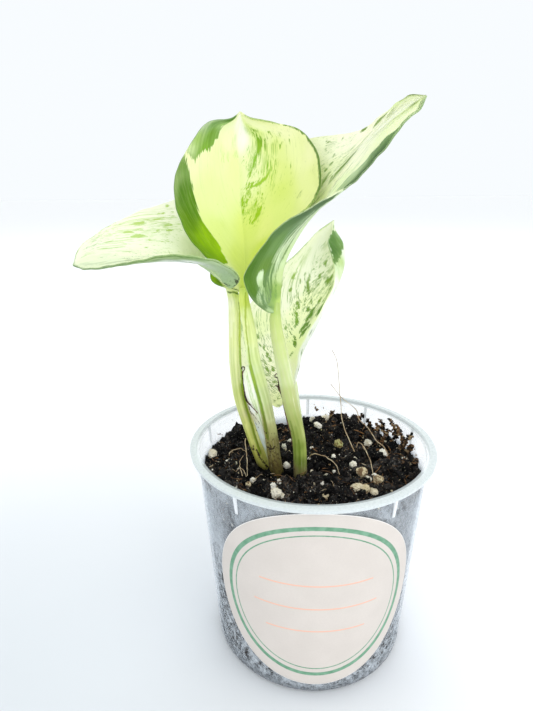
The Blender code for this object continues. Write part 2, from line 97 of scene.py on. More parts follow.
# Grains of perlite that lie where they are seen: x, y, size across, tone (0 white, 0.7 tan, 0.98 yellow-green)
PERLITE_PLACES = [(11.6, -12.2, 3, 0.5), (13.6, -11.4, 2.7, 0.7), (17.3, -8.4, 2.8, 0.75), (15.9, -11.6, 2.2, 0.45),
    (13.5, -5, 3.2, 0.65), (11.4, -2, 2.2, 0.2), (15, -7.5, 1.6, 0.3), (16.6, -5.5, 1.4, 0.1), (4.3, -7, 1.7, 0.05),
    (4.6, -9.3, 1.3, 0.05), (3, -9, 1.3, 0.1), (8, 9, 2.7, 0.98), (16.6, 9.5, 2.3, 0.25), (20.2, 5, 2.4, 0.1),
    (18.2, 3.4, 1.9, 0.5), (25.6, 3.4, 1.7, 0.05), (24.5, 8, 1.6, 0.1), (2, 17.7, 2.4, 0.15), (4.3, 24.5, 2.4, 0.3),
    (0.2, 23.7, 1.9, 0.2), (7, 22.4, 1, 0.05), (6.3, 2.6, 1.3, 0.05), (-0.5, 0.5, 0.9, 0.05), (12.2, 2.5, 1.1, 0.3),
    (6.2, -14, 1.2, 0.05), (3.8, -15.8, 1.9, 0.6), (-27.5, 1, 2.6, 0.35), (-20, -4, 2.5, 0.3),
    (-22, -3.7, 1.8, 0.15), (-19, -5.4, 1.4, 0.2), (-14.8, -9.6, 1.8, 0.1), (-15.8, -11.8, 1.5, 0.65),
    (-9.4, -12.6, 1.9, 0.1), (-8, -10.4, 1.2, 0.1), (-8.4, -15.7, 2.4, 0.3), (-6.8, -16, 1.8, 0.3),
    (-4.2, -15.8, 1.9, 0.15), (-6.4, -2.7, 2.1, 0.15), (-7.6, 7.4, 1.7, 0.1), (-6.3, 10.2, 1.5, 0.1)]
# Larger clods of peat: x, y, height of the middle, radius
CLOD_PLACES = [(-21.6, 9.5, 53.2, 2.5), (-20, 11.5, 54.4, 2), (-23, 7, 52, 2.2), (9, 24, 52.6, 2.8),
        (13, 21, 53.2, 2.4), (3, 24.5, 52, 2.6), (18, 15, 51.6, 2.4), (23, 10, 51, 2.4), (21, -2, 51.6, 2.8),
        (24, -4, 51.4, 2.4), (1, -9, 51.4, 2), (-2, -12, 51.2, 2.2), (8, -16, 51.2, 2.2), (-18, 2, 52.2, 2.2),
        (0, 13, 52.4, 2.4), (-16, -6, 51.6, 2), (18, 3, 51.8, 2.2), (9, -4, 51.6, 1.8)]
# Crumbs stuck to the inside of the wall: x, y, z, radius
STUCK_CRUMBS = [(0.8, 28.4, 56.6, 0.28), (1.2, 28.5, 55.6, 0.4), (1.8, 28.4, 54.9, 0.45), (3.8, 28.3, 55.6, 0.25),
        (9.8, 26.8, 57.4, 0.16), (-27.2, 8.3, 55, 0.2), (-26.8, 9.2, 54.6, 0.26), (-26.4, 10, 54, 0.2),
        (28.4, 1.5, 54.2, 0.3), (28.5, -1, 53.4, 0.26), (28.2, 3, 55.2, 0.2), (27, 8.6, 56.8, 0.18),
        (-24, 15.4, 56.4, 0.15), (-22.6, 17.4, 57.2, 0.14)]
# Mossy bits that stand along the wall: points of each stem
TUFTS = [[(14, 24.3, 52), (15, 24, 54.2), (16, 23.2, 56)], [(18.6, 21.4, 52), (18, 21.8, 54), (17.4, 22, 55)],
    [(22.2, 17.5, 52.5), (21.5, 18.4, 55), (20.9, 19, 56.4)],
    [(24.6, 13.6, 53.6), (24.2, 14.5, 56.4), (23.4, 16, 58)],
    [(26.5, 10, 54), (25.6, 11.9, 56.2), (25, 13.3, 57.2)], [(26.6, 9.4, 53), (27.2, 7.4, 56.2), (27.7, 6, 58)],
    [(27.2, 7, 52), (27.7, 5.4, 54.4), (27.9, 4.4, 55.4)], [(23.4, 13, 52), (24.6, 12.4, 54.6), (25.4, 11.4, 56)],
    [(21.4, 15, 52), (22.6, 15, 54.2), (23, 14.6, 55.2)], [(25.4, 8, 51.6), (26, 8.4, 54), (26.4, 8, 55)],
    [(19.4, 18, 51.6), (20.2, 18.6, 53.6), (20.4, 19, 54.6)], [(27.6, 0.6, 51.6), (28, 0, 53.4), (28, -0.6, 54)],
    [(6, 26.6, 52), (6.4, 27, 54.2), (6.8, 27, 55.4)], [(-5, 20, 49), (-4.6, 21, 51), (-5.6, 22, 52.4)],
    [(-8, 18, 49.4), (-8.6, 19, 51), (-8, 19.6, 52)]]
# Dry root threads that stand out of the mix: points and radius
ROOT_THREADS = [([(12, 2.5, 54), (10.7, 5, 56.1), (9.6, 7, 58), (8.7, 9, 60.8), (8.3, 9.5, 64.2), (7.9, 10, 67.7),
    (7.6, 10.5, 70.8), (7.3, 11, 74.2), (6.5, 12, 78), (5.4, 13, 80)], 0.15), ([(21.6, 4.3, 52.4),
    (20.1, 5.5, 54.5), (18.2, 6.5, 55.5), (17.2, 7, 57), (16, 8, 58.7), (13.4, 9, 60.9), (12.6, 10, 63.2),
    (8.4, 14, 65.5), (5.4, 16, 68.7)], 0.15), ([(12.6, 4, 54.6), (12.9, 3, 56.6), (14.1, -1, 57.2),
    (14.9, -5.5, 57), (15.4, -9, 56), (15.8, -12, 53.6)], 0.15), ([(-0.6, -2, 53.6), (0, -3.5, 55.8),
    (1.1, -4, 56.5), (3.2, -5, 56.5), (5, -6.5, 56.3), (6.5, -8, 55.6), (7.4, -8.8, 53.4)], 0.16),
    ([(-22.4, -1, 53.4), (-22.1, -1.5, 54.5), (-20.7, -1.5, 55.6), (-19, -1.5, 55.8), (-17.6, -1.5, 55)], 0.14),
    ([(-17.9, 1, 57.6), (-17.9, 0, 58), (-17.4, -3, 56.3), (-16.8, -6, 54.2), (-16.4, -8.8, 52)], 0.15),
    ([(-17.6, -9.4, 52.2), (-18.4, -8, 54), (-18.6, -6.4, 55), (-17.8, -5.6, 56)], 0.12), ([(-19.6, -7, 52),
    (-18.6, -7.4, 53.4), (-17.4, -8.6, 53.4), (-16.6, -9.4, 52)], 0.12)]


def display(red, green, blue):
    """A linear colour from the 0 to 255 values that a screen shows."""
    parts = [value / 255 for value in (red, green, blue)]
    return tuple(p / 12.92 if p <= 0.04045 else ((p + 0.055) / 1.055) ** 2.4 for p in parts) + (1.0,)


# ---------------------------------------------------------------- building helpers

def fresh(operator, **settings):
    """Adds a primitive with nothing else selected, and returns its object."""
    if bpy.context.object and bpy.context.object.mode != "OBJECT":
        bpy.ops.object.mode_set(mode="OBJECT")
    bpy.ops.object.select_all(action="DESELECT")
    operator(**settings)
    return bpy.context.object


def only(obj):
    """Makes the object the one that operators act on."""
    bpy.ops.object.select_all(action="DESELECT")
    obj.select_set(True)
    bpy.context.view_layer.objects.active = obj


def name_it(obj, name):
    obj.name = name
    obj.data.name = name


def tidy_mesh(obj, angle=50):
    """Merges doubled points, turns the faces outwards and shades the piece smooth."""
    only(obj)
    bpy.ops.object.mode_set(mode="EDIT")
    bpy.ops.mesh.select_all(action="SELECT")
    bpy.ops.mesh.remove_doubles(threshold=WELD)
    bpy.ops.mesh.normals_make_consistent(inside=False)
    bpy.ops.object.mode_set(mode="OBJECT")
    bpy.ops.object.shade_smooth_by_angle(angle=math.radians(angle))


def use_modifier(obj, kind, **settings):
    """Adds a modifier and applies it at once."""
    only(obj)
    made = obj.modifiers.new(kind.title(), kind)
    for key, value in settings.items():
        setattr(made, key, value)
    bpy.ops.object.modifier_apply(modifier=made.name)


def give(obj, name, kind, values):
    """Writes an attribute of the mesh, one value to each point."""
    field = {"FLOAT": "value", "FLOAT_VECTOR": "vector", "FLOAT_COLOR": "color"}[kind]
    made = obj.data.attributes.get(name) or obj.data.attributes.new(name, kind, "POINT")
    made.data.foreach_set(field, np.asarray(values, np.float32).ravel())


def taken(obj, name, size=3):
    """Reads a vector attribute and removes it."""
    made = obj.data.attributes[name]
    values = np.zeros(len(obj.data.vertices) * size, np.float32)
    made.data.foreach_get("vector", values)
    obj.data.attributes.remove(made)
    return values.reshape(-1, size).astype(float)


def places_of(obj):
    values = np.zeros(len(obj.data.vertices) * 3, np.float32)
    obj.data.vertices.foreach_get("co", values)
    return values.reshape(-1, 3).astype(float)


def put_places(obj, places):
    obj.data.vertices.foreach_set("co", np.asarray(places, np.float32).ravel())
    obj.data.update()


def rolled(name, along, around, shape):
    """A grid rolled up into one closed skin. Shape gives the place for a share 0 to 1 and a turn -pi to pi."""
    obj = fresh(bpy.ops.mesh.primitive_grid_add, x_subdivisions=along, y_subdivisions=around, size=2)
    name_it(obj, name)
    grid = places_of(obj)
    shares, turns = (grid[:, 0] + 1) / 2, grid[:, 1] * math.pi
    give(obj, "roll", "FLOAT_VECTOR", np.stack([shares, turns, np.zeros(len(grid))], 1))
    put_places(obj, np.array([shape(s, t) for s, t in zip(shares, turns)]) * MM)
    tidy_mesh(obj)
    return obj


def line_at(profile):
    """A function that gives the point of a polyline at a share of its length."""
    points = np.asarray(profile, float)
    steps = np.r_[0, np.cumsum(np.linalg.norm(np.diff(points, axis=0), axis=1))]
    steps /= steps[-1]
    return lambda share: [np.interp(share, steps, points[:, k]) for k in range(points.shape[1])]


def curve(points, shares):
    """Points at shares of the way along a smooth curve through the points (centripetal Catmull-Rom)."""
    given = np.asarray(points, float)
    ends = np.vstack([2 * given[0] - given[1], given, 2 * given[-1] - given[-2]])
    knots = np.r_[0, np.cumsum(np.linalg.norm(np.diff(ends[:, :3], axis=0), axis=1) ** 0.5)]
    found = []
    for share in np.atleast_1d(shares):
        t = knots[1] + (knots[-2] - knots[1]) * share
        i = int(min(max(np.searchsorted(knots, t) - 1, 1), len(given) - 1))
        k, p = knots[i - 1:i + 3], ends[i - 1:i + 3]
        a = [((k[j + 1] - t) * p[j] + (t - k[j]) * p[j + 1]) / (k[j + 1] - k[j]) for j in range(3)]
        b = [((k[j + 2] - t) * a[j] + (t - k[j]) * a[j + 1]) / (k[j + 2] - k[j]) for j in range(2)]
        found.append(((k[2] - t) * b[0] + (t - k[1]) * b[1]) / (k[2] - k[1]))
    return np.array(found)


def strands(name, lines):
    """Thin round threads as one mesh, each from its own points and radii, in millimetres."""
    obj = fresh(bpy.ops.curve.primitive_bezier_curve_add)
    name_it(obj, name)
    data = obj.data
    data.splines.clear()
    data.dimensions = "3D"
    data.bevel_depth = MM
    data.bevel_resolution = 1
    data.use_fill_caps = True
    for points, radii in lines:
        made = data.splines.new("POLY")
        made.points.add(len(points) - 1)
        for target, place, radius in zip(made.points, points, radii):
            target.co = (*(np.asarray(place) * MM), 1)
            target.radius = radius
    only(obj)
    bpy.ops.object.convert(target="MESH")
    obj = bpy.context.object
    tidy_mesh(obj)
    return obj


def stone(seed, detail, rough, crisp=0.3):
    """Points and faces of one lumpy stone of radius 1. Crisp sets how strong its small lumps are."""
    obj = fresh(bpy.ops.mesh.primitive_ico_sphere_add, subdivisions=detail, radius=1)
    points = places_of(obj)
    faces = [tuple(face.vertices) for face in obj.data.polygons]
    bpy.data.objects.remove(obj, do_unlink=True)
    shift = Vector((seed * 7.3, seed * 3.1, seed * 1.7))

    def lump(point, pitch):
        return noise.noise(Vector(point) * pitch + shift)

    swell = [1 + rough * (lump(p, 1.1) + 0.6 * lump(p, 2.6) + crisp * (lump(p, 4.3) + 0.5 * lump(p, 9.0)))
            for p in points]
    return points * np.array(swell)[:, None], faces


def strew(name, stones, spots, draw, tones=None, small=(0, ())):
    """Copies of the stones at spots (x, y, z, radius), each turned and squashed its own way, as one mesh.

    Small gives a radius and the plainer stones that are used below it.
    """
    points, faces, tone, total = [], [], [], 0
    for number, (x, y, z, radius) in enumerate(spots):
        shape, sides = (stones if radius >= small[0] else small[1])[draw.randrange(len(stones))]
        turn = Matrix.Rotation(draw.uniform(0, 6.28), 3, "Z") @ Matrix.Rotation(draw.uniform(0, 6.28), 3, "X")
        squash = np.array([draw.uniform(0.8, 1.2), draw.uniform(0.8, 1.2), draw.uniform(0.65, 1.0)])
        points.append((shape * squash) @ np.array(turn).T * radius + (x, y, z))
        faces.extend(tuple(total + i for i in side) for side in sides)
        tone.extend([tones[number] if tones else draw.random()] * len(shape))
        total += len(shape)
    mesh = bpy.data.meshes.new(name)
    mesh.from_pydata((np.vstack(points) * MM).tolist(), [], faces)
    obj = bpy.data.objects.new(name, mesh)
    bpy.context.scene.collection.objects.link(obj)
    give(obj, "tone", "FLOAT", tone)
    only(obj)
    bpy.ops.object.shade_smooth_by_angle(angle=math.radians(35))
    return obj


def set_down(obj, replaces=()):
    """Ties a finished piece to the part: its body, and the solids it stands for, which it hides."""
    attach(obj, BODY)
    if replaces:
        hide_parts(*replaces)


# ---------------------------------------------------------------- materials

class Finish:
    """The nodes of one material. Each call adds a node and gives back its output."""

    def __init__(self, name):
        self.material = bpy.data.materials.new(name)
        self.material.use_nodes = True
        self.tree = self.material.node_tree
        self.shader = self.tree.nodes["Principled BSDF"]

    def node(self, kind, inputs, output=0, **settings):
        made = self.tree.nodes.new("ShaderNode" + kind)
        for key, value in settings.items():
            setattr(made, key, value)
        for key, value in inputs.items():
            self.plug(made.inputs[key], value)
        return made.outputs[output]

    def plug(self, socket, value):
        if isinstance(value, bpy.types.NodeSocket):
            self.tree.links.new(value, socket)
        else:
            socket.default_value = value

    def set(self, **values):
        for key, value in values.items():
            self.plug(self.shader.inputs[key.replace("_", " ")], value)

    def place(self):
        """Object coordinates in millimetres."""
        spot = self.node("TexCoord", {}, "Object")
        return self.node("VectorMath", {0: spot, "Scale": 1 / MM}, operation="SCALE")

    def attribute(self, name, output="Fac"):
        return self.node("Attribute", {}, output, attribute_name=name)

    def stretched(self, vector, x, y, z, shift=(0, 0, 0)):
        return self.node("VectorMath", {0: vector, 1: (x, y, z), 2: shift}, operation="MULTIPLY_ADD")

    def moved(self, vector, *shift):
        return self.stretched(vector, 1, 1, 1, shift)

    def grain(self, vector, size, detail=2.0, roughness=0.5, distortion=0.0):
        """Noise from 0 to 1 with lumps of about this size."""
        return self.node("TexNoise", {"Vector": vector, "Scale": 1 / size, "Detail": detail,
                "Roughness": roughness, "Distortion": distortion}, "Fac")

    def cells(self, vector, size, output="Distance", **settings):
        return self.node("TexVoronoi", {"Vector": vector, "Scale": 1 / size}, output, **settings)

    def maths(self, operation, a, b=0.0):
        return self.node("Math", {0: a, 1: b}, operation=operation)

    def plus(self, a, b):
        return self.maths("ADD", a, b)

    def less(self, a, b):
        return self.maths("SUBTRACT", a, b)

    def times(self, a, b):
        return self.maths("MULTIPLY", a, b)

    def most(self, a, b):
        return self.maths("MAXIMUM", a, b)

    def parts(self, vector):
        """The three numbers of a vector."""
        return [self.node("SeparateXYZ", {0: vector}, axis) for axis in "XYZ"]

    def between(self, value, low, high, bottom=0.0, top=1.0):
        """0 below low, 1 above high and smooth between."""
        return self.node("MapRange", {"Value": value, "From Min": low, "From Max": high, "To Min": bottom,
                "To Max": top}, interpolation_type="SMOOTHSTEP")

    def mix(self, share, a, b):
        return self.node("Mix", {0: share, 6: a, 7: b}, 2, data_type="RGBA")

    def bump(self, height, depth, strength=1.0, normal=None):
        inputs = {"Height": height, "Distance": depth * MM, "Strength": strength}
        if normal is not None:
            inputs["Normal"] = normal
        return self.node("Bump", inputs, "Normal")


def dress(obj, *materials):
    obj.data.materials.clear()
    for material in materials:
        obj.data.materials.append(material)


# ---------------------------------------------------------------- pot

def wall_radius(height):
    share = (height - BASE_CORNER) / (POT_HEIGHT - RIM_THICKNESS - BASE_CORNER)
    return BASE_RADIUS + (WALL_TOP_RADIUS - BASE_RADIUS) * share


def corner(x, y, radius, start, end, steps=5):
    """Points of a rounded corner, by angles in degrees."""
    turns = [math.radians(start + (end - start) * i / steps) for i in range(steps + 1)]
    return [(x + radius * math.cos(t), y + radius * math.sin(t)) for t in turns]


def pot_profile():
    """Radius and height from the middle of the inside, over the rim, down to the middle of the underside."""
    under = POT_HEIGHT - RIM_THICKNESS
    foot = BASE_RADIUS - BASE_CORNER
    lip = 0.35
    inner = WALL_TOP_RADIUS - WALL
    points = [(0, WALL), (12, WALL)]
    points += corner(foot, BASE_CORNER, BASE_CORNER - WALL, -90, 0)
    points += [(wall_radius(z) - WALL, z) for z in (10, 20, 30, 40, 50)]
    points += corner(inner + lip, POT_HEIGHT - lip, lip, 180, 90)
    points += corner(RIM_RADIUS - lip, POT_HEIGHT - lip, lip, 90, 0)
    points += corner(RIM_RADIUS - lip, under + lip, lip, 0, -90)
    points += [(WALL_TOP_RADIUS + 0.25, under), (WALL_TOP_RADIUS, under - 0.25)]
    points += [(wall_radius(z), z) for z in (50, 40, 30, 20, 10)]
    points += corner(foot, BASE_CORNER, BASE_CORNER, 0, -90)
    return points + [(12, 0), (0, 0)]


def pot_shell():
    at = line_at(pot_profile())

    def shape(share, turn):
        radius, height = at(share)
        return radius * math.cos(turn), radius * math.sin(turn), height

    obj = rolled("clear_pot", 210, POT_STEPS, shape)
    taken(obj, "roll")
    under = POT_HEIGHT - RIM_THICKNESS
    for i in range(1, RIB_COUNT):
        angle = math.radians(RIB_TURN + 360 / RIB_COUNT * i - 90)
        inner, outer = wall_radius(under) - 0.3, wall_radius(under) + RIB_PROUD
        rib = fresh(bpy.ops.mesh.primitive_cube_add, size=1)
        bpy.ops.transform.resize(value=((outer - inner) * MM, RIB_WIDTH * MM, RIB_HEIGHT * MM))
        bpy.ops.object.transform_apply(location=False, rotation=False, scale=True)
        for vertex in rib.data.vertices:
            if vertex.co.z < 0 and vertex.co.x > 0:
                vertex.co.x -= RIB_PROUD * 0.55 * MM
            if vertex.co.z < 0:
                vertex.co.x -= 0.4 * MM
        use_modifier(rib, "BEVEL", width=0.18 * MM, segments=2)
        reach = (inner + outer) / 2
        rib.data.transform(Matrix.Translation(Vector((
                reach * math.cos(angle), reach * math.sin(angle), under - RIB_HEIGHT / 2 + 0.2)) * MM)
                @ Matrix.Rotation(angle, 4, "Z"))
        use_modifier(obj, "BOOLEAN", operation="UNION", object=rib, solver="EXACT")
        bpy.data.objects.remove(rib, do_unlink=True)
    for i in range(DRAIN_COUNT):
        angle = 2 * math.pi * i / DRAIN_COUNT
        drill = fresh(bpy.ops.mesh.primitive_cylinder_add, vertices=32, radius=DRAIN_RADIUS * MM, depth=3 * MM,
                location=(DRAIN_CIRCLE * MM * math.cos(angle), DRAIN_CIRCLE * MM * math.sin(angle), 0))
        use_modifier(obj, "BOOLEAN", operation="DIFFERENCE", object=drill, solver="EXACT")
        bpy.data.objects.remove(drill, do_unlink=True)
    tidy_mesh(obj, 35)
    return obj


def clear_plastic(settings):
    """Slightly cloudy clear plastic: a smooth film of condensation high on the wall, gritty and spotted below.
    Painted light too: a sheen toward the sides, shade on the right, a near white open wall above the mix, and a
    dark grey foot that is partly contact shadow.
    """
    f = Finish("clear_plastic")
    place = f.place()
    across, depth, height = f.parts(place)
    radius = f.maths("SQRT", f.plus(f.times(across, across), f.times(depth, depth)))
    film = f.grain(f.stretched(place, 1, 1, 0.7), 8.0, 3, 0.55, 0.4)
    grit = f.grain(f.stretched(place, 1, 1, 0.9, (3, 7, 1)), 1.7, 5, 0.72)
    beads = f.grain(place, 0.7, 3, 0.7)
    blots = f.between(f.grain(f.stretched(place, 1, 1, 0.8, (9, 4, 2)), 3.4, 5, 0.72, 0.7), 0.56, 0.61)
    smooth = f.between(height, 22, 44)
    # Painted sheen and shade: the veil rises toward the sides where the wall turns away, and falls on the right
    # side as painted shade; high adds more of the sides' sheen up the wall.
    turned = f.plus(f.between(depth, -17, -9, -0.09, 0.2), f.between(across, 18, 25, 0.0, -0.08))
    high = f.times(smooth, f.between(depth, -23, -15, -0.01, 0.19))
    veil = f.plus(f.between(film, 0.35, 0.65, 0.3, 0.42), f.plus(turned, high))
    rough = f.times(f.between(grit, 0.38, 0.62, -0.26, 0.17), f.between(smooth, 0.0, 1.0, 1.0, 0.22))
    veil = f.plus(f.plus(veil, rough), f.between(beads, 0.45, 0.7, -0.02, 0.06))
    veil = f.times(veil, f.between(blots, 0.0, 1.0, 1.0, 0.5))
    above = f.times(f.between(height, 50.0, 53.0), f.between(depth, -22, -10))
    open_wall = f.between(f.grain(place, 6.0, 2), 0.3, 0.7, 0.1, 0.2)
    cloud = f.node("Mix", {0: above, 2: veil, 3: open_wall}, 0)
    rim = f.between(height, 57.2, 57.9)
    cloud = f.node("Mix", {0: rim, 2: cloud, 3: f.between(radius, 30.1, 31.1, 0.34, 0.62)}, 0)
    # The foot is painted dark grey and more opaque: partly a painted contact shadow, partly the soil seen through
    # the thicker base.
    foot = f.between(height, 4.2, 1.2)
    cloud = f.times(f.plus(cloud, f.times(foot, 0.26)), settings.cloudiness)
    rib = f.between(f.less(radius, f.plus(26.55, f.times(height, 0.0682))), 0.1, 0.3)
    cloud = f.most(cloud, f.times(rib, 0.85))
    # The open wall above the mix and the ribs are tinted near white; on the open wall this is painted light from
    # the bright surround behind it.
    tint = f.mix(f.most(above, rib), (*settings.wall_colour, 1), display(246, 249, 252))
    tint = f.mix(rim, tint, display(220, 227, 228))
    f.set(Base_Color=f.mix(f.times(foot, 0.85), tint, display(84, 92, 102)),
            Roughness=f.between(beads, 0.3, 0.7, 0.2, 0.4), Alpha=cloud, IOR=1.49)
    scratch = f.grain(f.stretched(place, 1, 1, 0.25), 0.8, 2)
    f.set(Normal=f.bump(beads, 0.05, 0.5, f.bump(scratch, 0.04, 0.3)))
    return f.material


# ---------------------------------------------------------------- label

def plant_label():
    """A round paper sticker that follows the wall, with a rounded edge."""
    half = LABEL_THICKNESS / 2
    edge = corner(LABEL_RADIUS - half, 0, half, 90, -90, 6)
    at = line_at([(0, half)] + [(r, half) for r in (6, 12, 18, 23)] + edge
            + [(r, -half) for r in (23, 18, 12, 6)] + [(0, -half)])

    def shape(share, turn):
        reach, proud = at(share)
        along, up = reach * math.cos(turn) + LABEL_SHIFT, reach * math.sin(turn) + LABEL_HEIGHT
        radius = wall_radius(up) + GAP + half + proud
        angle = along / wall_radius(up)
        return radius * math.sin(angle), -radius * math.cos(angle), up

    obj = rolled("plant_label", 90, 120, shape)
    roll = taken(obj, "roll")
    reach = np.array([at(s)[0] for s in roll[:, 0]])
    give(obj, "paper", "FLOAT_VECTOR", np.stack([reach * np.cos(roll[:, 1]), reach * np.sin(roll[:, 1]),
            np.zeros(len(reach))], 1))
    return obj


def label_paper(settings):
    """Matt sticker paper printed with a plain border ring and three ruled lines to write on."""
    f = Finish("label_paper")
    paper = f.attribute("paper", "Vector")
    fibre = f.grain(paper, 0.5, 4, 0.7)
    cloud = f.grain(paper, 9.0, 3)
    flat = f.mix(f.between(cloud, 0.3, 0.7), (*settings.paper, 1), display(215, 207, 200))
    flat = f.mix(f.between(fibre, 0.3, 0.8, 0.0, 0.35), flat, display(203, 195, 188))
    x, y = f.node("SeparateXYZ", {0: paper}, "X"), f.node("SeparateXYZ", {0: paper}, "Y")
    reach = f.node("VectorMath", {0: paper}, "Value", operation="LENGTH")
    wobble = f.grain(paper, 0.6, 2)

    def stroke(distance, width):
        """1 on a printed line of this width, with a slightly uneven edge."""
        off = f.plus(f.maths("ABSOLUTE", distance), f.times(f.less(wobble, 0.5), 0.12))
        return f.between(off, width / 2 + 0.05, width / 2 - 0.05)

    wide = stroke(f.less(reach, settings.ring), 1.1)
    thin = stroke(f.less(reach, settings.ring - 1.9), 0.32)
    ink = f.mix(f.between(f.grain(paper, 1.6, 3), 0.3, 0.7), (*settings.ink, 1), display(124, 168, 141))
    printed = f.mix(f.most(wide, thin), flat, ink)
    for line_height, half_length in ((6.0, 13.5), (-1.0, 15.0), (-8.0, 12.0)):
        on = stroke(f.less(y, line_height), 0.35)
        inside = f.between(f.maths("ABSOLUTE", x), half_length + 0.1, half_length - 0.1)
        printed = f.mix(f.times(on, inside), printed, (*settings.rule, 1))
    edge = f.between(reach, LABEL_RADIUS - 0.25, LABEL_RADIUS)
    f.set(Base_Color=f.mix(edge, printed, display(246, 244, 241)),
            Roughness=f.between(fibre, 0.2, 0.8, 0.5, 0.62), Specular_IOR_Level=0.35)
    f.set(Normal=f.bump(fibre, 0.02, 0.4, f.bump(cloud, 0.15, 0.35)))
    return f.material


# ---------------------------------------------------------------- potting mix

def soil_height(x, y):
    relief = sum(tall * noise.noise(Vector((x * pitch, y * pitch, layer))) for tall, pitch, layer in SOIL_WAVES)
    lumps = (abs(noise.noise(Vector((x * 0.42, y * 0.42, 4.4)))) * 2.2
            + abs(noise.noise(Vector((x * 1.1, y * 1.1, 2)))) * 1.3)
    dips = sum(deep * math.exp(-((x - a) ** 2 + (y - b) ** 2) / wide ** 2) for a, b, wide, deep in SOIL_DIPS)
    return SOIL_TOP + SOIL_RISE_BACK * y / BASE_RADIUS + relief + lumps - 0.75 - dips


def hollow(x, y):
    """0 on level mix to 1 in the deep hollows, which are painted near black as shade."""
    deep = sum(deep * math.exp(-((x - a) ** 2 + (y - b) ** 2) / wide ** 2) for a, b, wide, deep in SOIL_DIPS)
    return min(1.0, max(0.0, deep / 1.4))


def on_soil(x, y):
    """Where the line of sight through this place at the mix's mean height meets its real surface."""
    eye = Vector(CAMERA_PLACE)
    start = Vector((x, y, SOIL_TOP + SOIL_RISE_BACK * y / BASE_RADIUS))
    slope = (eye - start) / (eye.z - start.z)
    place = start
    for _ in range(6):
        place = start + slope * (0.5 * (soil_height(place.x, place.y) - start.z) + 0.5 * (place.z - start.z))
    reach = math.hypot(place.x, place.y)
    held = min(1.0, (SOIL_REACH - 1) / reach)
    return place.x * held, place.y * held


# In the outline of the mix, MIX_LID stands for its surface, and below MIX_STRAIGHT the side follows the wall.
MIX_LID = 60.0
MIX_STRAIGHT = 40


def potting_mix():
    """The body of the mix: a lumpy top, and a side and bottom that follow the pot's inner wall."""
    inset = WALL + 0.15
    foot = wall_radius(BASE_CORNER) - inset
    top = wall_radius(SOIL_TOP) - inset
    at = line_at([(0, MIX_LID), (top, MIX_LID), (wall_radius(MIX_STRAIGHT) - inset, MIX_STRAIGHT),
            (foot, 3.4), (foot - 2.2, 1.1), (0, 1.1)])

    def shape(share, turn):
        radius, height = at(share ** 1.3)
        x, y = radius * math.cos(turn), radius * math.sin(turn)
        if height > MIX_LID - 0.01:
            return x, y, soil_height(x, y)
        if height > MIX_STRAIGHT:
            rise = (height - MIX_STRAIGHT) / (MIX_LID - MIX_STRAIGHT)
            radius = wall_radius(MIX_STRAIGHT + rise * (SOIL_TOP - MIX_STRAIGHT)) - inset
            x, y = radius * math.cos(turn), radius * math.sin(turn)
            return x, y, MIX_STRAIGHT + rise * (soil_height(x, y) - MIX_STRAIGHT)
        dent = 0.35 * max(0.0, noise.noise(Vector((x * 0.3, y * 0.3, height * 0.3)))) if height > 1.2 else 0.0
        return x * (1 - dent / 28), y * (1 - dent / 28), height

    obj = rolled("potting_mix", 216, 280, shape)
    taken(obj, "roll")
    # This attribute is painted shade: it blackens the hollows of the mix by their depth.
    give(obj, "dark_tone_and_shade", "FLOAT", [hollow(x, y) if z > 46 else 0.0 for x, y, z in places_of(obj) / MM])
    return obj


def near_stalk(x, y, room):
    return any(math.hypot(x - stalk["stations"][1][0], y - stalk["stations"][1][1]) < room
            for stalk in STALKS.values())


def spread(count, sizes, draw, sunk, room=2.2, reach=SOIL_REACH):
    """Seeded spots on the surface: x, y, z, radius."""
    spots = []
    while len(spots) < count:
        size = sizes[0] + (sizes[1] - sizes[0]) * draw.random() ** 2
        radius = (reach - size) * math.sqrt(draw.random())
        turn = draw.uniform(0, 2 * math.pi)
        x, y = radius * math.cos(turn), radius * math.sin(turn)
        if near_stalk(x, y, room + size * 0.6):
            continue
        spots.append((x, y, soil_height(x, y) + size * (1 - 2 * sunk), size))
    return spots


def moss(draw):
    """Crumbs in loose clumps along the tufts."""
    spots = []
    for stem in TUFTS:
        for place in curve(stem, np.linspace(0, 1, 8)):
            for _ in range(4):
                x, y, z = place + [draw.uniform(-0.6, 0.6), draw.uniform(-0.6, 0.6), draw.uniform(-0.7, 0.3)]
                size = draw.uniform(0.15, 0.45)
                held = min(1.0, (SOIL_REACH - size) / math.hypot(x, y))
                spots.append((x * held, y * held, z, size))
    return spots


def peat_crumbs(settings):
    draw = random.Random(settings.seed)
    coarse, plain = ([stone(i, detail, 0.55, 0.7) for i in range(6)] for detail in (4, 3))
    fine, tiny = ([stone(20 + i, detail, 0.85, 0.6) for i in range(6)] for detail in (2, 1))
    clods = list(CLOD_PLACES) + spread(110, (0.7, 2.3), draw, 0.6, 2.6)
    big = strew("peat_clods", coarse, clods, draw, [draw.uniform(0, 0.5) for _ in clods], (1.5, plain))
    crumbs = spread(settings.crumbs, (0.2, 1.1), draw, 0.4, 1.9)
    for x, y, z, r in clods:
        for _ in range(int(r * 4)):
            turn, lift = draw.uniform(0, 6.28), draw.uniform(-0.1, 1.3)
            away = r * draw.uniform(0.8, 0.98)
            spot = (x + away * math.cos(turn) * math.cos(lift), y + away * math.sin(turn) * math.cos(lift),
                    z + away * 0.8 * math.sin(lift), draw.uniform(0.15, 0.5))
            if math.hypot(spot[0], spot[1]) < SOIL_REACH - spot[3]:
                crumbs.append(spot)
    # Crumbs in the hollows get a lower tone and so come out darker: painted shade on top of their random tone.
    tones = [draw.random() * (1 - hollow(x, y)) * (1.0 if size < 0.55 else 0.85) for x, y, z, size in crumbs]
    mossy = moss(draw)
    tones += [draw.choice((0.0, 0.2, 0.5, 0.94, 0.95, 0.99)) for _ in mossy + STUCK_CRUMBS]
    small = strew("peat_crumbs", fine, crumbs + mossy + STUCK_CRUMBS, draw, tones, (0.34, tiny))
    return big, small


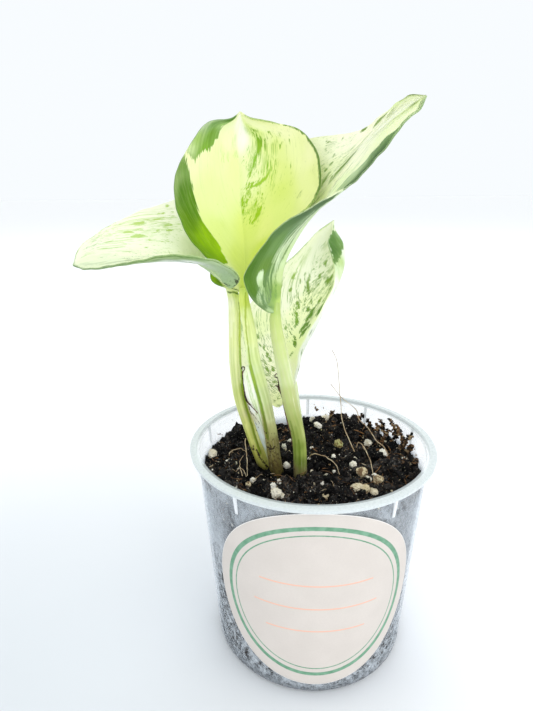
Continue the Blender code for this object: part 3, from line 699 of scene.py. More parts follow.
def perlite(settings):
    draw = random.Random(settings.seed + 1)
    grains, plain = ([stone(40 + i, detail, 0.26, 0.9) for i in range(6)] for detail in (4, 3))
    spots, tones = [], []
    for x, y, size, tone in PERLITE_PLACES:
        x, y = on_soil(x, y)
        spots.append((x, y, soil_height(x, y) + 0.3 * size, size * 0.5))
        tones.append(tone)
    small = spread(30, (0.35, 0.75), draw, 0.3, 3.0)
    tones += [draw.uniform(0, 0.7) for _ in small]
    big = strew("perlite_grains", grains, spots + small, draw, tones, (0.8, plain))
    fine = [stone(60 + i, 1, 0.5, 0) for i in range(4)]
    specks = strew("perlite_specks", fine, spread(settings.specks, (0.12, 0.36), draw, 0.15, 2.2), draw)
    return big, specks


def short_fibres(count, lengths, thickness, draw, right_share=0.3):
    """Points and radii of short fibres that lie and stand on the surface, some of them in the right-hand bank."""
    lines = []
    while len(lines) < count:
        right = draw.random() < right_share
        turn = draw.uniform(-0.4, 1.0) if right else draw.uniform(0, 2 * math.pi)
        radius = draw.uniform(19, 27.5) if right else 27.3 * math.sqrt(draw.random())
        x, y = radius * math.cos(turn), radius * math.sin(turn)
        if near_stalk(x, y, 2.6):
            continue
        length = lengths[0] + (lengths[1] - lengths[0]) * draw.random() ** 2
        heading, bend = draw.uniform(0, 2 * math.pi), draw.uniform(-0.8, 0.8)
        lift = draw.uniform(0.2, 1.2) if right else draw.uniform(0.0, 0.8)
        points = []
        for i in range(5):
            away = length * i / 4
            turned = heading + bend * i / 2
            px, py = x + away * math.cos(turned) * math.cos(lift), y + away * math.sin(turned) * math.cos(lift)
            held = min(1.0, (SOIL_REACH - 0.8) / math.hypot(px, py))
            rise = away * math.sin(lift) * (1 - 0.1 * i)
            points.append((px * held, py * held, soil_height(x, y) + 0.1 + rise + 0.2 * draw.uniform(-1, 1)))
        thick = draw.uniform(*thickness)
        lines.append((points, [thick * share for share in (0.6, 1, 0.8, 0.9, 0.3)]))
    return lines


def tufts(draw):
    """Brown mossy bits that stand up along the wall: jagged stems with small side leaves."""
    lines = []
    for stem in TUFTS:
        path = curve(stem, np.linspace(0, 1, 9))
        path += np.array([[draw.uniform(-0.25, 0.25) for _ in range(3)] for _ in path])
        lines.append((path, [draw.uniform(0.12, 0.34) for _ in path[1:]] + [0.06]))
        for place in path[1:-1]:
            for _ in range(2):
                way = np.array([draw.uniform(-1, 1), draw.uniform(-0.5, 0.5), draw.uniform(-0.5, 1)])
                reach = draw.uniform(0.3, 1.3)
                leaflet = [place, place + way * reach * 0.5, place + way * reach]
                lines.append((leaflet, [0.1, draw.uniform(0.1, 0.3), 0.04]))
    for points, _ in lines:
        for i, point in enumerate(points):
            held = min(1.0, SOIL_REACH / math.hypot(point[0], point[1]))
            points[i] = np.array([point[0] * held, point[1] * held, min(point[2], POT_HEIGHT - 0.6)])
    return lines


def fibres(settings):
    """Fibres of peat: dark brown ones with the tufts along the wall, and pale ones."""
    draw = random.Random(settings.seed + 2)
    dark = strands("peat_fibres", short_fibres(settings.fibres, (0.8, 5.6), (0.06, 0.17), draw) + tufts(draw))
    pale = strands("pale_fibres", short_fibres(settings.fibres // 2, (0.6, 2.6), (0.05, 0.12), draw, 0.2))
    return dark, pale


def root_threads():
    """Long dry roots with a slight waver."""
    lines = []
    for number, (points, thick) in enumerate(ROOT_THREADS):
        shares = np.linspace(0, 1, 46)
        places = curve(points, shares)
        for i, share in enumerate(shares):
            spot = Vector((share * 9, number * 5.0, 0))
            places[i] += np.array(noise.noise_vector(spot)) * 0.22 * min(1.0, 6 * share, 6 - 6 * share)
        lines.append((places, thick * (1 - 0.45 * shares) * (1 + 0.15 * np.sin(shares * 40))))
    return strands("root_threads", lines)


def peat_look(f, place, base, dark_tone_and_shade, settings):
    """Adds what all peat shows to a base colour: black pits, patches of grey dust, brown bits, pale flecks, and
    near black where the tone is dark or the hollows take painted shade.
    """
    bits = f.grain(f.moved(place, 5, 5, 5), 0.6, 4, 0.72)
    dust = f.grain(f.stretched(place, 1, 1, 1.4, (1, 8, 3)), 0.9, 5, 0.75)
    patch = f.between(f.grain(f.moved(place, 4, 4, 1), 3.6, 3), 0.4, 0.6)
    flecks = f.grain(f.moved(place, 11, 2, 6), 0.42, 2, 0.5)
    dry = f.times(patch, f.less(1.0, dark_tone_and_shade))
    base = f.mix(f.times(f.between(dust, 0.48, 0.66, 0.0, settings.dust), f.between(dry, 0, 1, 0.15, 1)), base,
            display(126, 126, 126))
    base = f.mix(f.times(f.between(bits, 0.55, 0.66, 0.0, 0.9), f.between(dry, 0, 1, 0.1, 1)), base,
            (*settings.brown, 1))
    base = f.mix(f.between(bits, 0.46, 0.36, 0.0, 0.95), base, display(4, 4, 5))
    # Near black where dark_tone_and_shade is high: painted shade in the hollows of the mix, and the dark tone of
    # some crumbs.
    base = f.mix(f.times(dark_tone_and_shade, 0.85), base, display(5, 5, 6))
    base = f.mix(f.between(flecks, 0.685, 0.72, 0.0, 0.8), base, display(196, 188, 168))
    f.set(Base_Color=base, Roughness=f.between(dust, 0.3, 0.7, 0.55, 0.95), Specular_IOR_Level=0.12)
    f.set(Normal=f.bump(bits, 0.35, 1.0, f.bump(dust, 0.35, 0.9)))


def peat(settings):
    """Damp dark peat, painted near black in its hollows as shade, with pale grains where it lies against the wall.
    """
    f = Finish("peat")
    place = f.place()
    lumps = f.grain(place, 2.4, 5, 0.62, 0.4)
    base = f.mix(f.between(lumps, 0.4, 0.7), (*settings.dark, 1), display(46, 43, 42))
    grains = f.between(f.cells(f.moved(place, 2, 7, 1), 2.3), 0.2, 0.12)
    grains = f.times(grains, f.between(f.grain(place, 3.0, 2), 0.48, 0.56))
    height = f.node("SeparateXYZ", {0: place}, "Z")
    side = f.times(grains, f.between(height, 50, 46))
    peat_look(f, place, f.mix(side, base, display(214, 208, 196)), f.attribute("dark_tone_and_shade"), settings)
    return f.material


def crumb_peat(settings):
    f = Finish("crumb_peat")
    place = f.place()
    tone = f.attribute("tone")
    base = f.mix(f.between(tone, 0.25, 0.9), (*settings.dark, 1), display(62, 58, 55))
    base = f.mix(f.between(tone, 0.9, 0.93, 0.0, 0.9), base, (*settings.brown, 1))
    base = f.mix(f.between(tone, 0.965, 0.975, 0.0, 0.9), base, display(176, 152, 118))
    # Dark-toned crumbs are blackened like the hollows: their random dark tone, and painted shade for the crumbs
    # lying in the hollows.
    peat_look(f, place, base, f.between(tone, 0.35, 0.05, 0.0, 0.8), settings)
    return f.material


def perlite_stone():
    """Porous stone, white to tan by its tone, with brown stains and pits. The last tone is yellow-green."""
    f = Finish("perlite")
    place = f.place()
    tone = f.attribute("tone")
    base = f.mix(f.between(tone, 0.05, 0.7), display(236, 233, 222), display(206, 192, 158))
    green = f.between(tone, 0.965, 0.975)
    leafy = f.mix(f.between(f.grain(place, 0.9, 3), 0.4, 0.6), display(206, 216, 140), display(128, 148, 50))
    base = f.mix(green, base, leafy)
    stain = f.grain(f.moved(place, 3, 1, 4), 1.5, 5, 0.66, 0.6)
    stained = f.plus(stain, f.between(tone, 0.2, 0.8, -0.03, 0.13))
    base = f.mix(f.between(stained, 0.58, 0.68, 0.0, 0.9), base, display(112, 84, 56))
    rim = f.between(stained, 0.5, 0.58, 0.0, 0.4)
    base = f.mix(f.times(rim, f.between(stained, 0.66, 0.6)), base, display(214, 198, 160))
    pits = f.cells(place, 0.5)
    pits = f.times(f.between(pits, 0.26, 0.12), f.between(f.grain(place, 1.3, 2), 0.46, 0.58))
    base = f.mix(f.times(pits, 0.8), base, display(84, 70, 52))
    f.set(Base_Color=base, Roughness=0.85, Specular_IOR_Level=0.3)
    f.set(Normal=f.bump(f.times(pits, -1.0), 0.2, 0.8, f.bump(stain, 0.3, 0.7)))
    return f.material


def fibre_brown(name, light, dark):
    f = Finish(name)
    place = f.place()
    tone = f.grain(place, 2.0, 3)
    fine = f.grain(place, 0.35, 3, 0.7)
    base = f.mix(f.between(tone, 0.35, 0.62), light, dark)
    f.set(Base_Color=f.mix(f.between(fine, 0.5, 0.7, 0.0, 0.5), base, display(70, 52, 38)), Roughness=0.8,
            Specular_IOR_Level=0.3, Normal=f.bump(fine, 0.06, 0.6))
    return f.material


def bark(settings):
    """Green to brown skin of the buried cutting and its roots."""
    f = Finish("cutting_bark")
    place = f.place()
    rings = f.grain(f.stretched(place, 0.3, 1.4, 1.4), 1.2, 4, 0.6)
    spots = f.grain(place, 0.5, 3, 0.7)
    base = f.mix(f.between(rings, 0.35, 0.65), (*settings.bark, 1), display(168, 160, 104))
    deep = f.between(f.node("SeparateXYZ", {0: place}, "Z"), 38, 34)
    base = f.mix(deep, base, display(196, 178, 140))
    f.set(Base_Color=f.mix(f.between(spots, 0.56, 0.7, 0.0, 0.7), base, display(86, 66, 42)), Roughness=0.7)
    f.set(Normal=f.bump(rings, 0.15, 0.6, f.bump(spots, 0.05, 0.6)))
    return f.material


# ---------------------------------------------------------------- painting by listed spots

BLADE_UNITS = (100, 100)
STALK_UNITS = (100, 1)


# Where no mark has been laid yet, a place counts as this many millimetres inside one.
OUTSIDE = -5.0


def paired(numbers, units):
    """Pairs from a row of numbers, divided by the units that the tables are written in."""
    return np.reshape(numbers, (-1, 2)) / units


def from_stops(where, stops, size, units):
    """Colours mixed from given stops (a, b, red, green, blue), the nearer ones counting more."""
    total, weight = np.zeros((len(where), 3)), np.zeros(len(where))
    for a, b, *colour in stops:
        apart = (((where - (a / units[0], b / units[1])) * size) ** 2).sum(1)
        pull = 1 / (apart + 1.5) ** 2
        total += pull[:, None] * np.array(display(*colour)[:3])
        weight += pull
    return total / weight[:, None]


def to_line(points, a, b):
    """How far each point is from the stretch a to b."""
    along = np.clip(((points - a) @ (b - a)) / max((b - a) @ (b - a), 1e-9), 0, 1)
    return np.linalg.norm(points - a - along[:, None] * (b - a), axis=1)


def inside_by(where, outline, size):
    """Millimetres inside a closed outline, less than 0 outside it."""
    points, ring = where * size, paired(outline, BLADE_UNITS) * size
    far, within = np.full(len(points), 1e9), np.zeros(len(points), bool)
    for a, b in zip(ring, np.roll(ring, -1, axis=0)):
        far = np.minimum(far, to_line(points, a, b))
        crosses = (a[1] > points[:, 1]) != (b[1] > points[:, 1])
        if a[1] != b[1]:
            within ^= crosses & (points[:, 0] < (b[0] - a[0]) * (points[:, 1] - a[1]) / (b[1] - a[1]) + a[0])
    return np.where(within, far, -far)


def along_by(where, line, size, width):
    """Millimetres inside a line of this width."""
    points, path = where * size, paired(line, STALK_UNITS) * size
    far = np.min([to_line(points, a, b) for a, b in zip(path, path[1:])], axis=0)
    return width / 2 - far


# ---------------------------------------------------------------- leaves

BLADE_THICKNESS = 0.45
BLADE_ALONG = 210
BLADE_ACROSS = 54  # rows of faces in each half
ROW_CROWDING = 1.15  # rows lie closer together near the midrib
MIDRIB_LAG = 1.5
BELLY_SHARES = (0.0, 0.2, 0.5, 0.8, 1.0)

# Each blade: its lines as in the solids in millimetres, then for its upper side and underside the ground
# colours and the green marks. A place on a blade is two numbers: percent of the way from stalk to tip, and
# -100 at the left margin to 100 at the right one. Ground and mark are (place, red, green, blue), a sector is
# an outline of places, margins, flecks, hazes and cuts are (width in millimetres, places), and dense is
# (place, reach each way, amount), in percent.
CENTER_OVER = {
    "ground": [(97, -30, 255, 255, 240), (90, 10, 255, 255, 240), (85, -35, 248, 253, 200),
        (75, -40, 241, 251, 184), (75, -10, 240, 249, 176), (60, -40, 237, 249, 174), (45, -35, 228, 242, 148),
        (35, -10, 222, 237, 122), (90, 70, 250, 253, 200), (80, 85, 252, 254, 196), (84, 50, 228, 243, 152),
        (70, 85, 244, 251, 178), (78, 58, 234, 247, 146), (75, 20, 246, 252, 190), (80, 57, 244, 250, 186),
        (65, 50, 236, 247, 152), (62, 50, 226, 242, 126), (50, 50, 234, 247, 142), (67, 91, 252, 254, 192),
        (47, 30, 240, 248, 146), (60, 90, 242, 250, 168), (50, 12, 230, 244, 128), (35, 30, 222, 238, 102),
        (20, 5, 222, 238, 106), (5, 0, 220, 234, 118), (20, 70, 196, 220, 104), (20, -50, 238, 244, 186),
        (12, -40, 232, 240, 168), (72, -90, 246, 250, 196)],
    # The paler mark stop at (88, -75) by the upper left margin is a painted sheen.
    "mark": [(84, -90, 138, 178, 106), (82, -100, 206, 224, 188), (80, -75, 128, 172, 66), (88, -75, 172, 208, 130),
        (93, -95, 96, 140, 60), (75, -95, 170, 206, 110), (71, -97, 222, 242, 178), (74, -75, 136, 184, 62),
        (66, -95, 112, 152, 66), (59, -100, 160, 188, 118), (56, -88, 88, 134, 30), (52, -75, 90, 138, 16),
        (45, -85, 100, 144, 6), (39, -76, 142, 186, 12), (42, -60, 152, 196, 2), (36, -45, 164, 208, 2),
        (30, -50, 140, 182, 4), (33, -88, 122, 166, 18), (20, -95, 134, 176, 10), (13, -85, 96, 136, 20),
        (84, 45, 112, 164, 8), (80, 35, 134, 182, 20), (78, 20, 136, 190, 44), (73, 35, 146, 196, 56),
        (62, 8, 150, 196, 18), (56, 20, 158, 200, 20), (68, 30, 160, 204, 44), (60, 97, 84, 126, 46),
        (70, -20, 180, 214, 60), (28, 10, 96, 140, 20), (3, -80, 66, 96, 26)],
    "sectors": [(69.5, -110, 69.5, -95, 68.5, -86, 68.5, -80, 72.5, -78, 74.5, -68, 78.5, -63, 81, -60, 84.5, -66,
        87.5, -72, 90, -76, 92, -80, 95.5, -86, 98, -110), (68.8, -110, 68.4, -99, 64, -84, 60, -75, 53, -67,
        48, -60, 43, -50, 40, -44, 36, -42, 33, -40, 30, -42, 27, -54, 24, -72, 20, -80, 18, -76, 14, -76, 11, -90,
        10, -110)],
    "flecks": [(1.3, 86, 45, 83.5, 41, 81, 37, 79, 33, 77, 29), (0.6, 85, 50, 82.5, 46, 80, 41),
        (0.5, 88, 42, 86, 38), (0.9, 72.5, 46, 70, 42, 68, 35, 67.2, 27, 67.5, 16, 68.5, 5),
        (0.5, 69, 27, 68.5, 16, 69.7, 6), (0.5, 84, 68, 83.3, 69), (0.6, 63, 27, 62.5, 27),
        (0.4, 64.5, 22, 63.5, 22), (0.5, 61.5, 27, 60.5, 26), (0.6, 64.5, 9, 61.5, 7), (0.9, 66, 3, 64, 2, 61, 2),
        (1, 59, 26, 57, 22, 54.5, 18, 52.5, 12), (0.4, 58.5, 20, 57.5, 20), (0.6, 56, 11, 53.5, 9),
        (0.7, 61, 2, 58.5, 2), (0.8, 30, 13, 26.5, 8), (0.9, 2, -100, 6, -100, 10, -100), (0.5, 66, 12, 64, 12),
        (1, 79, 30, 76.5, 25, 74, 18), (0.7, 82, 52, 79, 46, 77, 42), (0.6, 75, 20, 72, 14, 70, 9),
        (0.5, 90, 45, 88.5, 50, 87, 52), (0.6, 76, 70, 74.5, 62), (0.5, 72, 52, 70, 48, 67, 46)],
    "haze": [(1.3, 83, 30, 80, 25, 77.5, 20), (1.8, 81, 24, 76, 18, 72.5, 13), (2, 76, 43, 73, 36, 70, 28),
        (1, 68, 44, 66, 42), (1.3, 78, 62, 76.5, 56, 74, 54), (0.9, 80, 76, 79, 73), (1.2, 64.5, 40, 62.5, 38),
        (1.6, 68, 3, 64, 5, 60, 3), (0.7, 79, -27, 77, -28), (0.6, 77.5, -36, 76, -36), (0.5, 82, -10, 80.5, -10),
        (0.8, 61, 93, 60, 92), (1.5, 92, 35, 88, 40), (3.2, 60, 16, 56, 16), (1, 87, 52, 83, 48),
        (0.5, 88, -20, 83, -20), (0.7, 56, 75, 54, 72)],
    "dense": [(82, 38, 7, 14, 45), (78, 22, 6, 14, 42), (60, 14, 9, 14, 42), (74, 32, 7, 16, 36),
        (78, 68, 7, 20, 22), (78, -32, 5, 12, 22), (66, 50, 6, 20, 20)],
}
CENTER_UNDER = {
    "ground": [(90, 0, 236, 244, 200), (60, -40, 222, 236, 170), (50, 50, 216, 234, 160), (20, 0, 206, 226, 140)],
    "mark": [(80, -85, 132, 168, 110), (50, -80, 118, 156, 80), (70, 30, 160, 192, 110), (60, 100, 84, 126, 46),
        (80, 100, 110, 146, 64)],
    "sectors": [(72.5, -110, 73.5, -95, 77, -70, 82, -64, 91, -70, 99, -110), (69, -110, 66, -84, 52, -67, 40, -45,
        32, -32, 24, -62, 14, -80, 8, -110)],
    "dense": [(80, 30, 14, 20, 40), (55, 20, 15, 20, 30)],
}
LEFT_OVER = {
    "ground": [(93, 20, 236, 245, 206), (80, 30, 246, 251, 220), (68, 50, 250, 254, 226), (55, 30, 247, 253, 220),
        (50, 80, 252, 254, 228), (40, 50, 246, 253, 216), (30, 30, 238, 248, 200), (60, 5, 242, 249, 212),
        (60, -40, 236, 246, 200), (80, -30, 232, 243, 204), (40, -50, 226, 240, 180), (15, 0, 220, 236, 170)],
    "mark": [(60, 80, 178, 208, 104), (60, 50, 178, 210, 112), (85, 40, 180, 208, 130), (68, -30, 66, 100, 24),
        (80, -50, 112, 144, 90), (97, -20, 140, 166, 130), (45, 50, 172, 206, 96), (97, 60, 150, 176, 140),
        (40, -90, 140, 172, 110)],
    "flecks": [(1.2, 65, 83, 60, 78, 58, 75), (0.6, 57.5, 76, 53.5, 75, 51.5, 74), (1.3, 69, 70, 66.5, 68, 64, 63),
        (0.5, 64, 68, 60, 64), (1.6, 65.5, 53, 63, 52, 59, 47), (0.9, 50, 60, 46, 57), (0.8, 49.5, 50, 45, 48),
        (0.7, 53.5, 53, 52.5, 53), (1.1, 49.5, 95, 48.5, 94), (0.7, 51, 83, 50, 83), (0.7, 47, 80, 46, 79),
        (0.6, 53, 85, 52, 85), (0.6, 79, 62, 75, 58), (0.6, 81.5, 45, 77, 35), (0.5, 71, 42, 69, 38),
        (0.5, 60, 20, 58.5, 20), (0.5, 48, 28, 46, 27), (0.55, 72, -30, 69, -30, 65, -22), (0.4, 98, 80, 100, 0)],
    "haze": [(1.2, 84, 85, 80, 90), (1.2, 83, 20, 80, 13), (1, 68, 62, 66, 60), (0.8, 72, 90, 66, 92),
        (0.7, 50, 15, 44, 12), (0.5, 55, 5, 42, 5), (0.8, 77, 80, 72, 78), (0.9, 58, 90, 54, 92),
        (0.7, 90, 50, 86, 40), (1.4, 70, -30, 85, -35, 95, -30)],
    "dense": [(60, 70, 16, 30, 42), (80, 50, 12, 50, 38), (50, 50, 12, 40, 32), (60, 10, 25, 25, 22),
        (50, -40, 30, 40, 30)],
}
LEFT_UNDER = {
    "ground": [(60, -95, 166, 194, 130), (50, -95, 154, 186, 116), (46, -72, 244, 250, 240),
        (40, -95, 196, 218, 168), (36, -80, 180, 204, 160), (30, -90, 168, 194, 146), (27, -78, 168, 194, 148),
        (22, -70, 196, 218, 162), (31, -97, 168, 196, 136), (50, 50, 206, 222, 176), (20, 0, 206, 222, 160)],
    "mark": [(36, -90, 134, 166, 108), (40, -100, 96, 128, 66), (60, -100, 84, 118, 50), (90, -100, 96, 122, 78),
        (97, 100, 140, 166, 120), (50, 50, 168, 196, 128), (29, -98, 44, 44, 26)],
    "flecks": [(0.9, 29.2, -99, 28.5, -95), (0.5, 29, -100, 26, -100),
        (0.45, 68, -100, 60, -100, 50, -100, 42, -100), (0.4, 25, -95, 24, -90, 23.5, -85)],
    "haze": [(1.2, 42, -85, 36, -88, 31, -93), (0.6, 45, -75, 38, -78), (1, 55, -90, 46, -95)],
    "dense": [(30, -85, 14, 30, 22), (60, 40, 20, 40, 40), (55, -60, 20, 30, 40)],
}
RIGHT_OVER = {
    # The stop at (64, 10) is painted lighter, painted light against the shade that the centre leaf casts in the
    # corner between them.
    "ground": [(60, 80, 252, 255, 220), (60, 38, 252, 255, 214), (66, 50, 246, 253, 206), (70, 90, 254, 255, 222),
        (78, 50, 255, 255, 226), (80, 80, 255, 255, 220), (88, 0, 252, 255, 226), (97, -40, 216, 230, 166),
        (83, 85, 255, 255, 220), (88, 95, 226, 240, 176), (64, 10, 242, 250, 192), (70, -20, 236, 248, 196),
        (76, 10, 255, 255, 214), (80, -20, 254, 255, 222), (90, -60, 236, 246, 194), (40, 50, 226, 240, 180),
        (30, 0, 214, 232, 160)],
    "mark": [(67, -60, 186, 212, 156), (72, -56, 206, 228, 178), (76, -62, 180, 208, 156), (80, -70, 112, 148, 88),
        (78, -85, 112, 148, 88), (83, -90, 120, 156, 92), (70, -98, 84, 116, 68), (77, -98, 78, 110, 62),
        (88, -98, 96, 130, 66), (65, 30, 118, 158, 40), (60, 50, 140, 178, 70), (80, 70, 124, 160, 54),
        (72, 30, 100, 138, 44), (74, 100, 104, 142, 36), (93, 100, 92, 122, 40), (50, 50, 170, 204, 110),
        (40, -80, 110, 150, 70), (95, -50, 124, 150, 66)],
    "sectors": [(62, -110, 64, -75, 65.5, -50, 67.2, -37, 71, -42, 75, -56, 78, -65, 80, -75, 82, -85, 83.5, -92,
        85, -98, 87, -110)],
    "flecks": [(0.6, 60, 93, 61.5, 90), (0.6, 65.5, 94, 65, 92), (0.5, 60, 84, 60.5, 80), (0.5, 63.5, 74, 63, 70),
        (0.6, 63.5, 63, 62.5, 60), (0.8, 61.5, 56, 61, 54), (0.7, 63.5, 50, 61.5, 40, 60.5, 30),
        (0.7, 65, 40, 64.5, 30), (1.1, 76, 50, 73, 48, 70.5, 45, 67, 38, 65, 30), (0.5, 71.5, 12, 70.5, 8),
        (0.9, 75, 99, 72.5, 97), (1.2, 85, 90, 83, 86, 81, 82, 80, 80), (0.5, 88.5, 82, 86.5, 66),
        (0.6, 97.5, -30, 95.5, -20), (0.4, 90, 60, 87.5, 55), (0.4, 77, 25, 75, 20),
        (0.5, 99, -80, 96, -90, 93, -100), (0.4, 80, 10, 74, 2, 70, -5), (0.4, 86, 20, 78, 10)],
    "haze": [(1.2, 74, 42, 70, 36, 67, 30), (0.8, 90, 85, 87, 60), (1, 63, 90, 60, 86), (0.7, 92, -20, 80, -30),
        (0.7, 87, -40, 74, -35), (0.6, 93, 60, 90, 30, 85, 0)],
    "dense": [(64, 66, 12, 40, 22), (64, 12, 8, 20, 34), (80, 50, 15, 40, 40), (45, 30, 20, 50, 40),
        (74, -20, 10, 30, 36), (92, 10, 10, 80, 42)],
}
RIGHT_UNDER = {
    "ground": [(26, -52, 216, 236, 190), (22, -48, 176, 202, 142), (19, -35, 132, 164, 96),
        (14, -60, 176, 200, 152), (10, -46, 138, 168, 92), (10, -75, 178, 202, 148), (15, -95, 160, 186, 120),
        (30, -35, 166, 196, 126), (35, -25, 220, 238, 192), (45, -25, 222, 238, 196), (52, -40, 222, 236, 198),
        (58, -60, 220, 236, 200), (40, -10, 206, 226, 168), (16, -16, 134, 168, 84), (27, 0, 200, 218, 156),
        (20, -5, 156, 186, 100), (10, 0, 186, 210, 116), (45, -60, 150, 182, 128), (60, 30, 214, 230, 180),
        (80, 30, 218, 232, 186), (70, -50, 186, 206, 160)],
    "mark": [(28, -95, 84, 126, 38), (20, -80, 92, 134, 42), (35, -95, 92, 132, 52), (45, -95, 104, 138, 84),
        (52, -95, 96, 124, 84), (40, -65, 126, 164, 92), (30, -55, 118, 156, 66), (25, -32, 120, 154, 92),
        (15, -30, 132, 162, 108), (14, -50, 124, 156, 104), (20, -45, 116, 150, 84), (50, -60, 128, 160, 110),
        (20, -10, 128, 164, 84), (60, 40, 160, 190, 116), (10, -90, 120, 150, 96)],
    "sectors": [(62, -110, 60, -85, 56, -60, 51, -42, 46, -36, 40, -36, 35, -30, 30, -24, 25, -20, 19, -16, 14, -24,
        11, -40, 10, -60, 8.5, -80, 8, -110)],
    "flecks": [(0.7, 50, -20, 45, -14, 38, -12, 30, -12), (0.5, 30, -15, 22, -10, 14, -10),
        (0.5, 20, -100, 15, -100, 10, -100, 5, -100), (0.45, 55, -100, 45, -100, 30, -100, 22, -100),
        (0.5, 12, -75, 9, -60, 8, -45), (0.5, 56, -30, 50, -28, 44, -26)],
    "haze": [(1, 58, -40, 50, -30, 42, -28), (1, 10, -75, 8, -60), (1, 40, -20, 30, -18), (1, 13, -95, 9, -85)],
    "dense": [(50, -50, 12, 30, 40), (40, -20, 10, 14, 35), (12, -70, 6, 30, 35), (70, 30, 20, 40, 40)],
    "cuts": [(1.9, 28, -58, 25, -56, 21, -52), (0.8, 23, -50, 20, -50, 17, -54), (0.5, 20, -42, 16, -46, 11, -56),
        (0.4, 20, -36, 15, -38, 11, -46), (0.6, 19, -58, 15, -68, 11, -80), (0.45, 18, -64, 14, -80, 12, -90),
        (0.5, 56, -62, 48, -46, 40, -40, 33, -34, 26, -28, 20, -24), (0.35, 55, -70, 46, -56, 38, -46, 33, -42),
        (0.3, 26, -34, 20, -30, 14, -30)],
}
# The ground of the back leaf is painted near white, lighter than its own colour: painted light against the shade
# that the leaves in front cast on it.
BACK_OVER = {
    "ground": [(90, 0, 255, 255, 240), (75, 0, 255, 255, 238), (60, -30, 255, 255, 236), (50, 30, 252, 255, 214),
        (40, -50, 255, 255, 232), (25, -50, 255, 255, 228), (12, -80, 244, 250, 196), (48, -60, 244, 251, 208),
        (60, -80, 255, 255, 232), (55, 0, 252, 255, 216), (40, 30, 242, 250, 206), (35, 0, 244, 252, 196),
        (70, 70, 246, 252, 210)],
    "mark": [(60, 30, 118, 156, 40), (50, 30, 84, 132, 24), (42, 10, 88, 134, 26), (62, 0, 114, 150, 44),
        (75, 10, 128, 164, 60), (50, -20, 126, 168, 50), (50, -80, 140, 178, 70), (45, -70, 104, 146, 34),
        (30, -50, 116, 152, 44), (20, -70, 128, 156, 70), (80, -50, 156, 190, 80), (85, -80, 170, 200, 110),
        (38, -5, 92, 136, 14)],
    "flecks": [(1.1, 78, 13, 75.5, 15), (0.9, 71.5, 12, 69, 13), (0.9, 68.5, 26, 66, 25), (0.5, 73.5, 22, 70, 23),
        (1, 72, 0, 68, 0, 65, 2, 63, 3), (0.5, 67, -2, 62, -3), (0.5, 70, 42, 68, 46),
        (1.1, 69, 33, 66.5, 30, 64, 29), (0.6, 60.5, 62, 58.5, 62), (0.7, 73, -42, 70, -45, 69.5, -35),
        (0.5, 73, -15, 71.5, -15), (0.5, 69.5, -20, 67.5, -17), (0.8, 65, -32, 63.5, -32),
        (0.6, 69.5, -72, 66, -60, 62, -50), (1, 58.5, -10, 57, -9), (1, 55, -12, 52, -7, 48, -4, 45.5, -5),
        (0.9, 57, -7, 55, -7), (1.2, 54.5, 10, 53, 10), (0.6, 59.5, 10, 56.5, 13), (0.6, 58, 30, 54.5, 24),
        (0.5, 56.5, 38, 55, 38), (1.3, 54.5, 50, 51, 42, 48, 35), (1.3, 53.5, 22, 50, 17, 47, 12),
        (1.1, 46.5, 20, 44.5, 10, 42, 3), (0.9, 44, 24, 42, 14, 38.5, 5), (1, 40.5, -6, 36, -3, 34, -2),
        (0.5, 31, -6, 28.5, -12), (0.6, 28, 50, 25, 50), (0.7, 46.5, -20, 45.5, -20), (0.4, 46, -14, 45, -14),
        (0.6, 46, -75, 45, -75), (0.8, 46, -66, 44, -64), (0.9, 45, -71, 42.5, -69), (0.6, 42, -64, 40.5, -60),
        (0.8, 40.5, -55, 39, -55), (0.9, 37, -52, 35.5, -52), (0.5, 35.5, -62, 34, -61), (1.1, 35, -50, 33, -49),
        (0.5, 34.5, -60, 33, -60), (0.9, 32, -60, 29.5, -60), (1.1, 30, -50, 28, -49), (0.7, 29, -60, 28, -60),
        (0.5, 26.5, -68, 25, -68), (0.7, 24.5, -60, 23, -60), (0.5, 24, -70, 23, -70), (0.5, 19, -90, 18, -90),
        (0.5, 16, -95, 14, -95), (0.4, 17, -80, 16, -80), (0.4, 95, -100, 100, -100)],
    "haze": [(1.6, 84, -55, 79, -50, 75.5, -40), (1.3, 51, -72, 48, -70), (1.4, 54, -10, 48, -5),
        (2, 53, 30, 46, 16), (1.2, 88, 10, 85, 5), (1.3, 66, 15, 60, 12), (1.2, 72, -50, 68, -45)],
    "dense": [(64, 12, 14, 35, 42), (55, 50, 14, 16, 46), (56, -30, 16, 35, 34), (30, -60, 18, 30, 36),
        (75, -30, 14, 50, 32), (14, -85, 8, 20, 16), (75, 30, 10, 30, 40), (50, -80, 14, 20, 36)],
}
BACK_UNDER = {
    "ground": [(60, 90, 250, 252, 242), (50, 85, 248, 252, 238), (80, 99, 232, 242, 208), (77, 70, 232, 240, 222),
        (73, 84, 182, 206, 138), (66, 85, 214, 230, 184), (50, 0, 214, 228, 184), (20, -50, 206, 220, 170),
        (30, 90, 236, 242, 222)],
    "mark": [(84, 95, 90, 130, 62), (84, 80, 114, 150, 80), (76, 85, 118, 152, 82), (78, 95, 84, 122, 58),
        (90, 70, 146, 178, 120), (50, 0, 140, 172, 92), (30, 90, 110, 142, 90)],
    "sectors": [(93, 110, 93, 80, 90, 62, 87, 60, 84, 66, 81, 74, 78, 80, 75, 86, 71, 94, 70, 110)],
    "flecks": [(0.6, 26, 90, 23, 86), (0.5, 17, 80, 13, 70), (0.5, 36, 93, 33, 90), (0.4, 93, 100, 97, 100)],
    "haze": [(0.8, 62, 92, 56, 90)],
    "dense": [(65, 90, 8, 15, 25), (60, 0, 30, 60, 50), (25, -50, 20, 40, 50)],
    "cuts": [(0.35, 94, 100, 85, 100, 74, 100)],
}
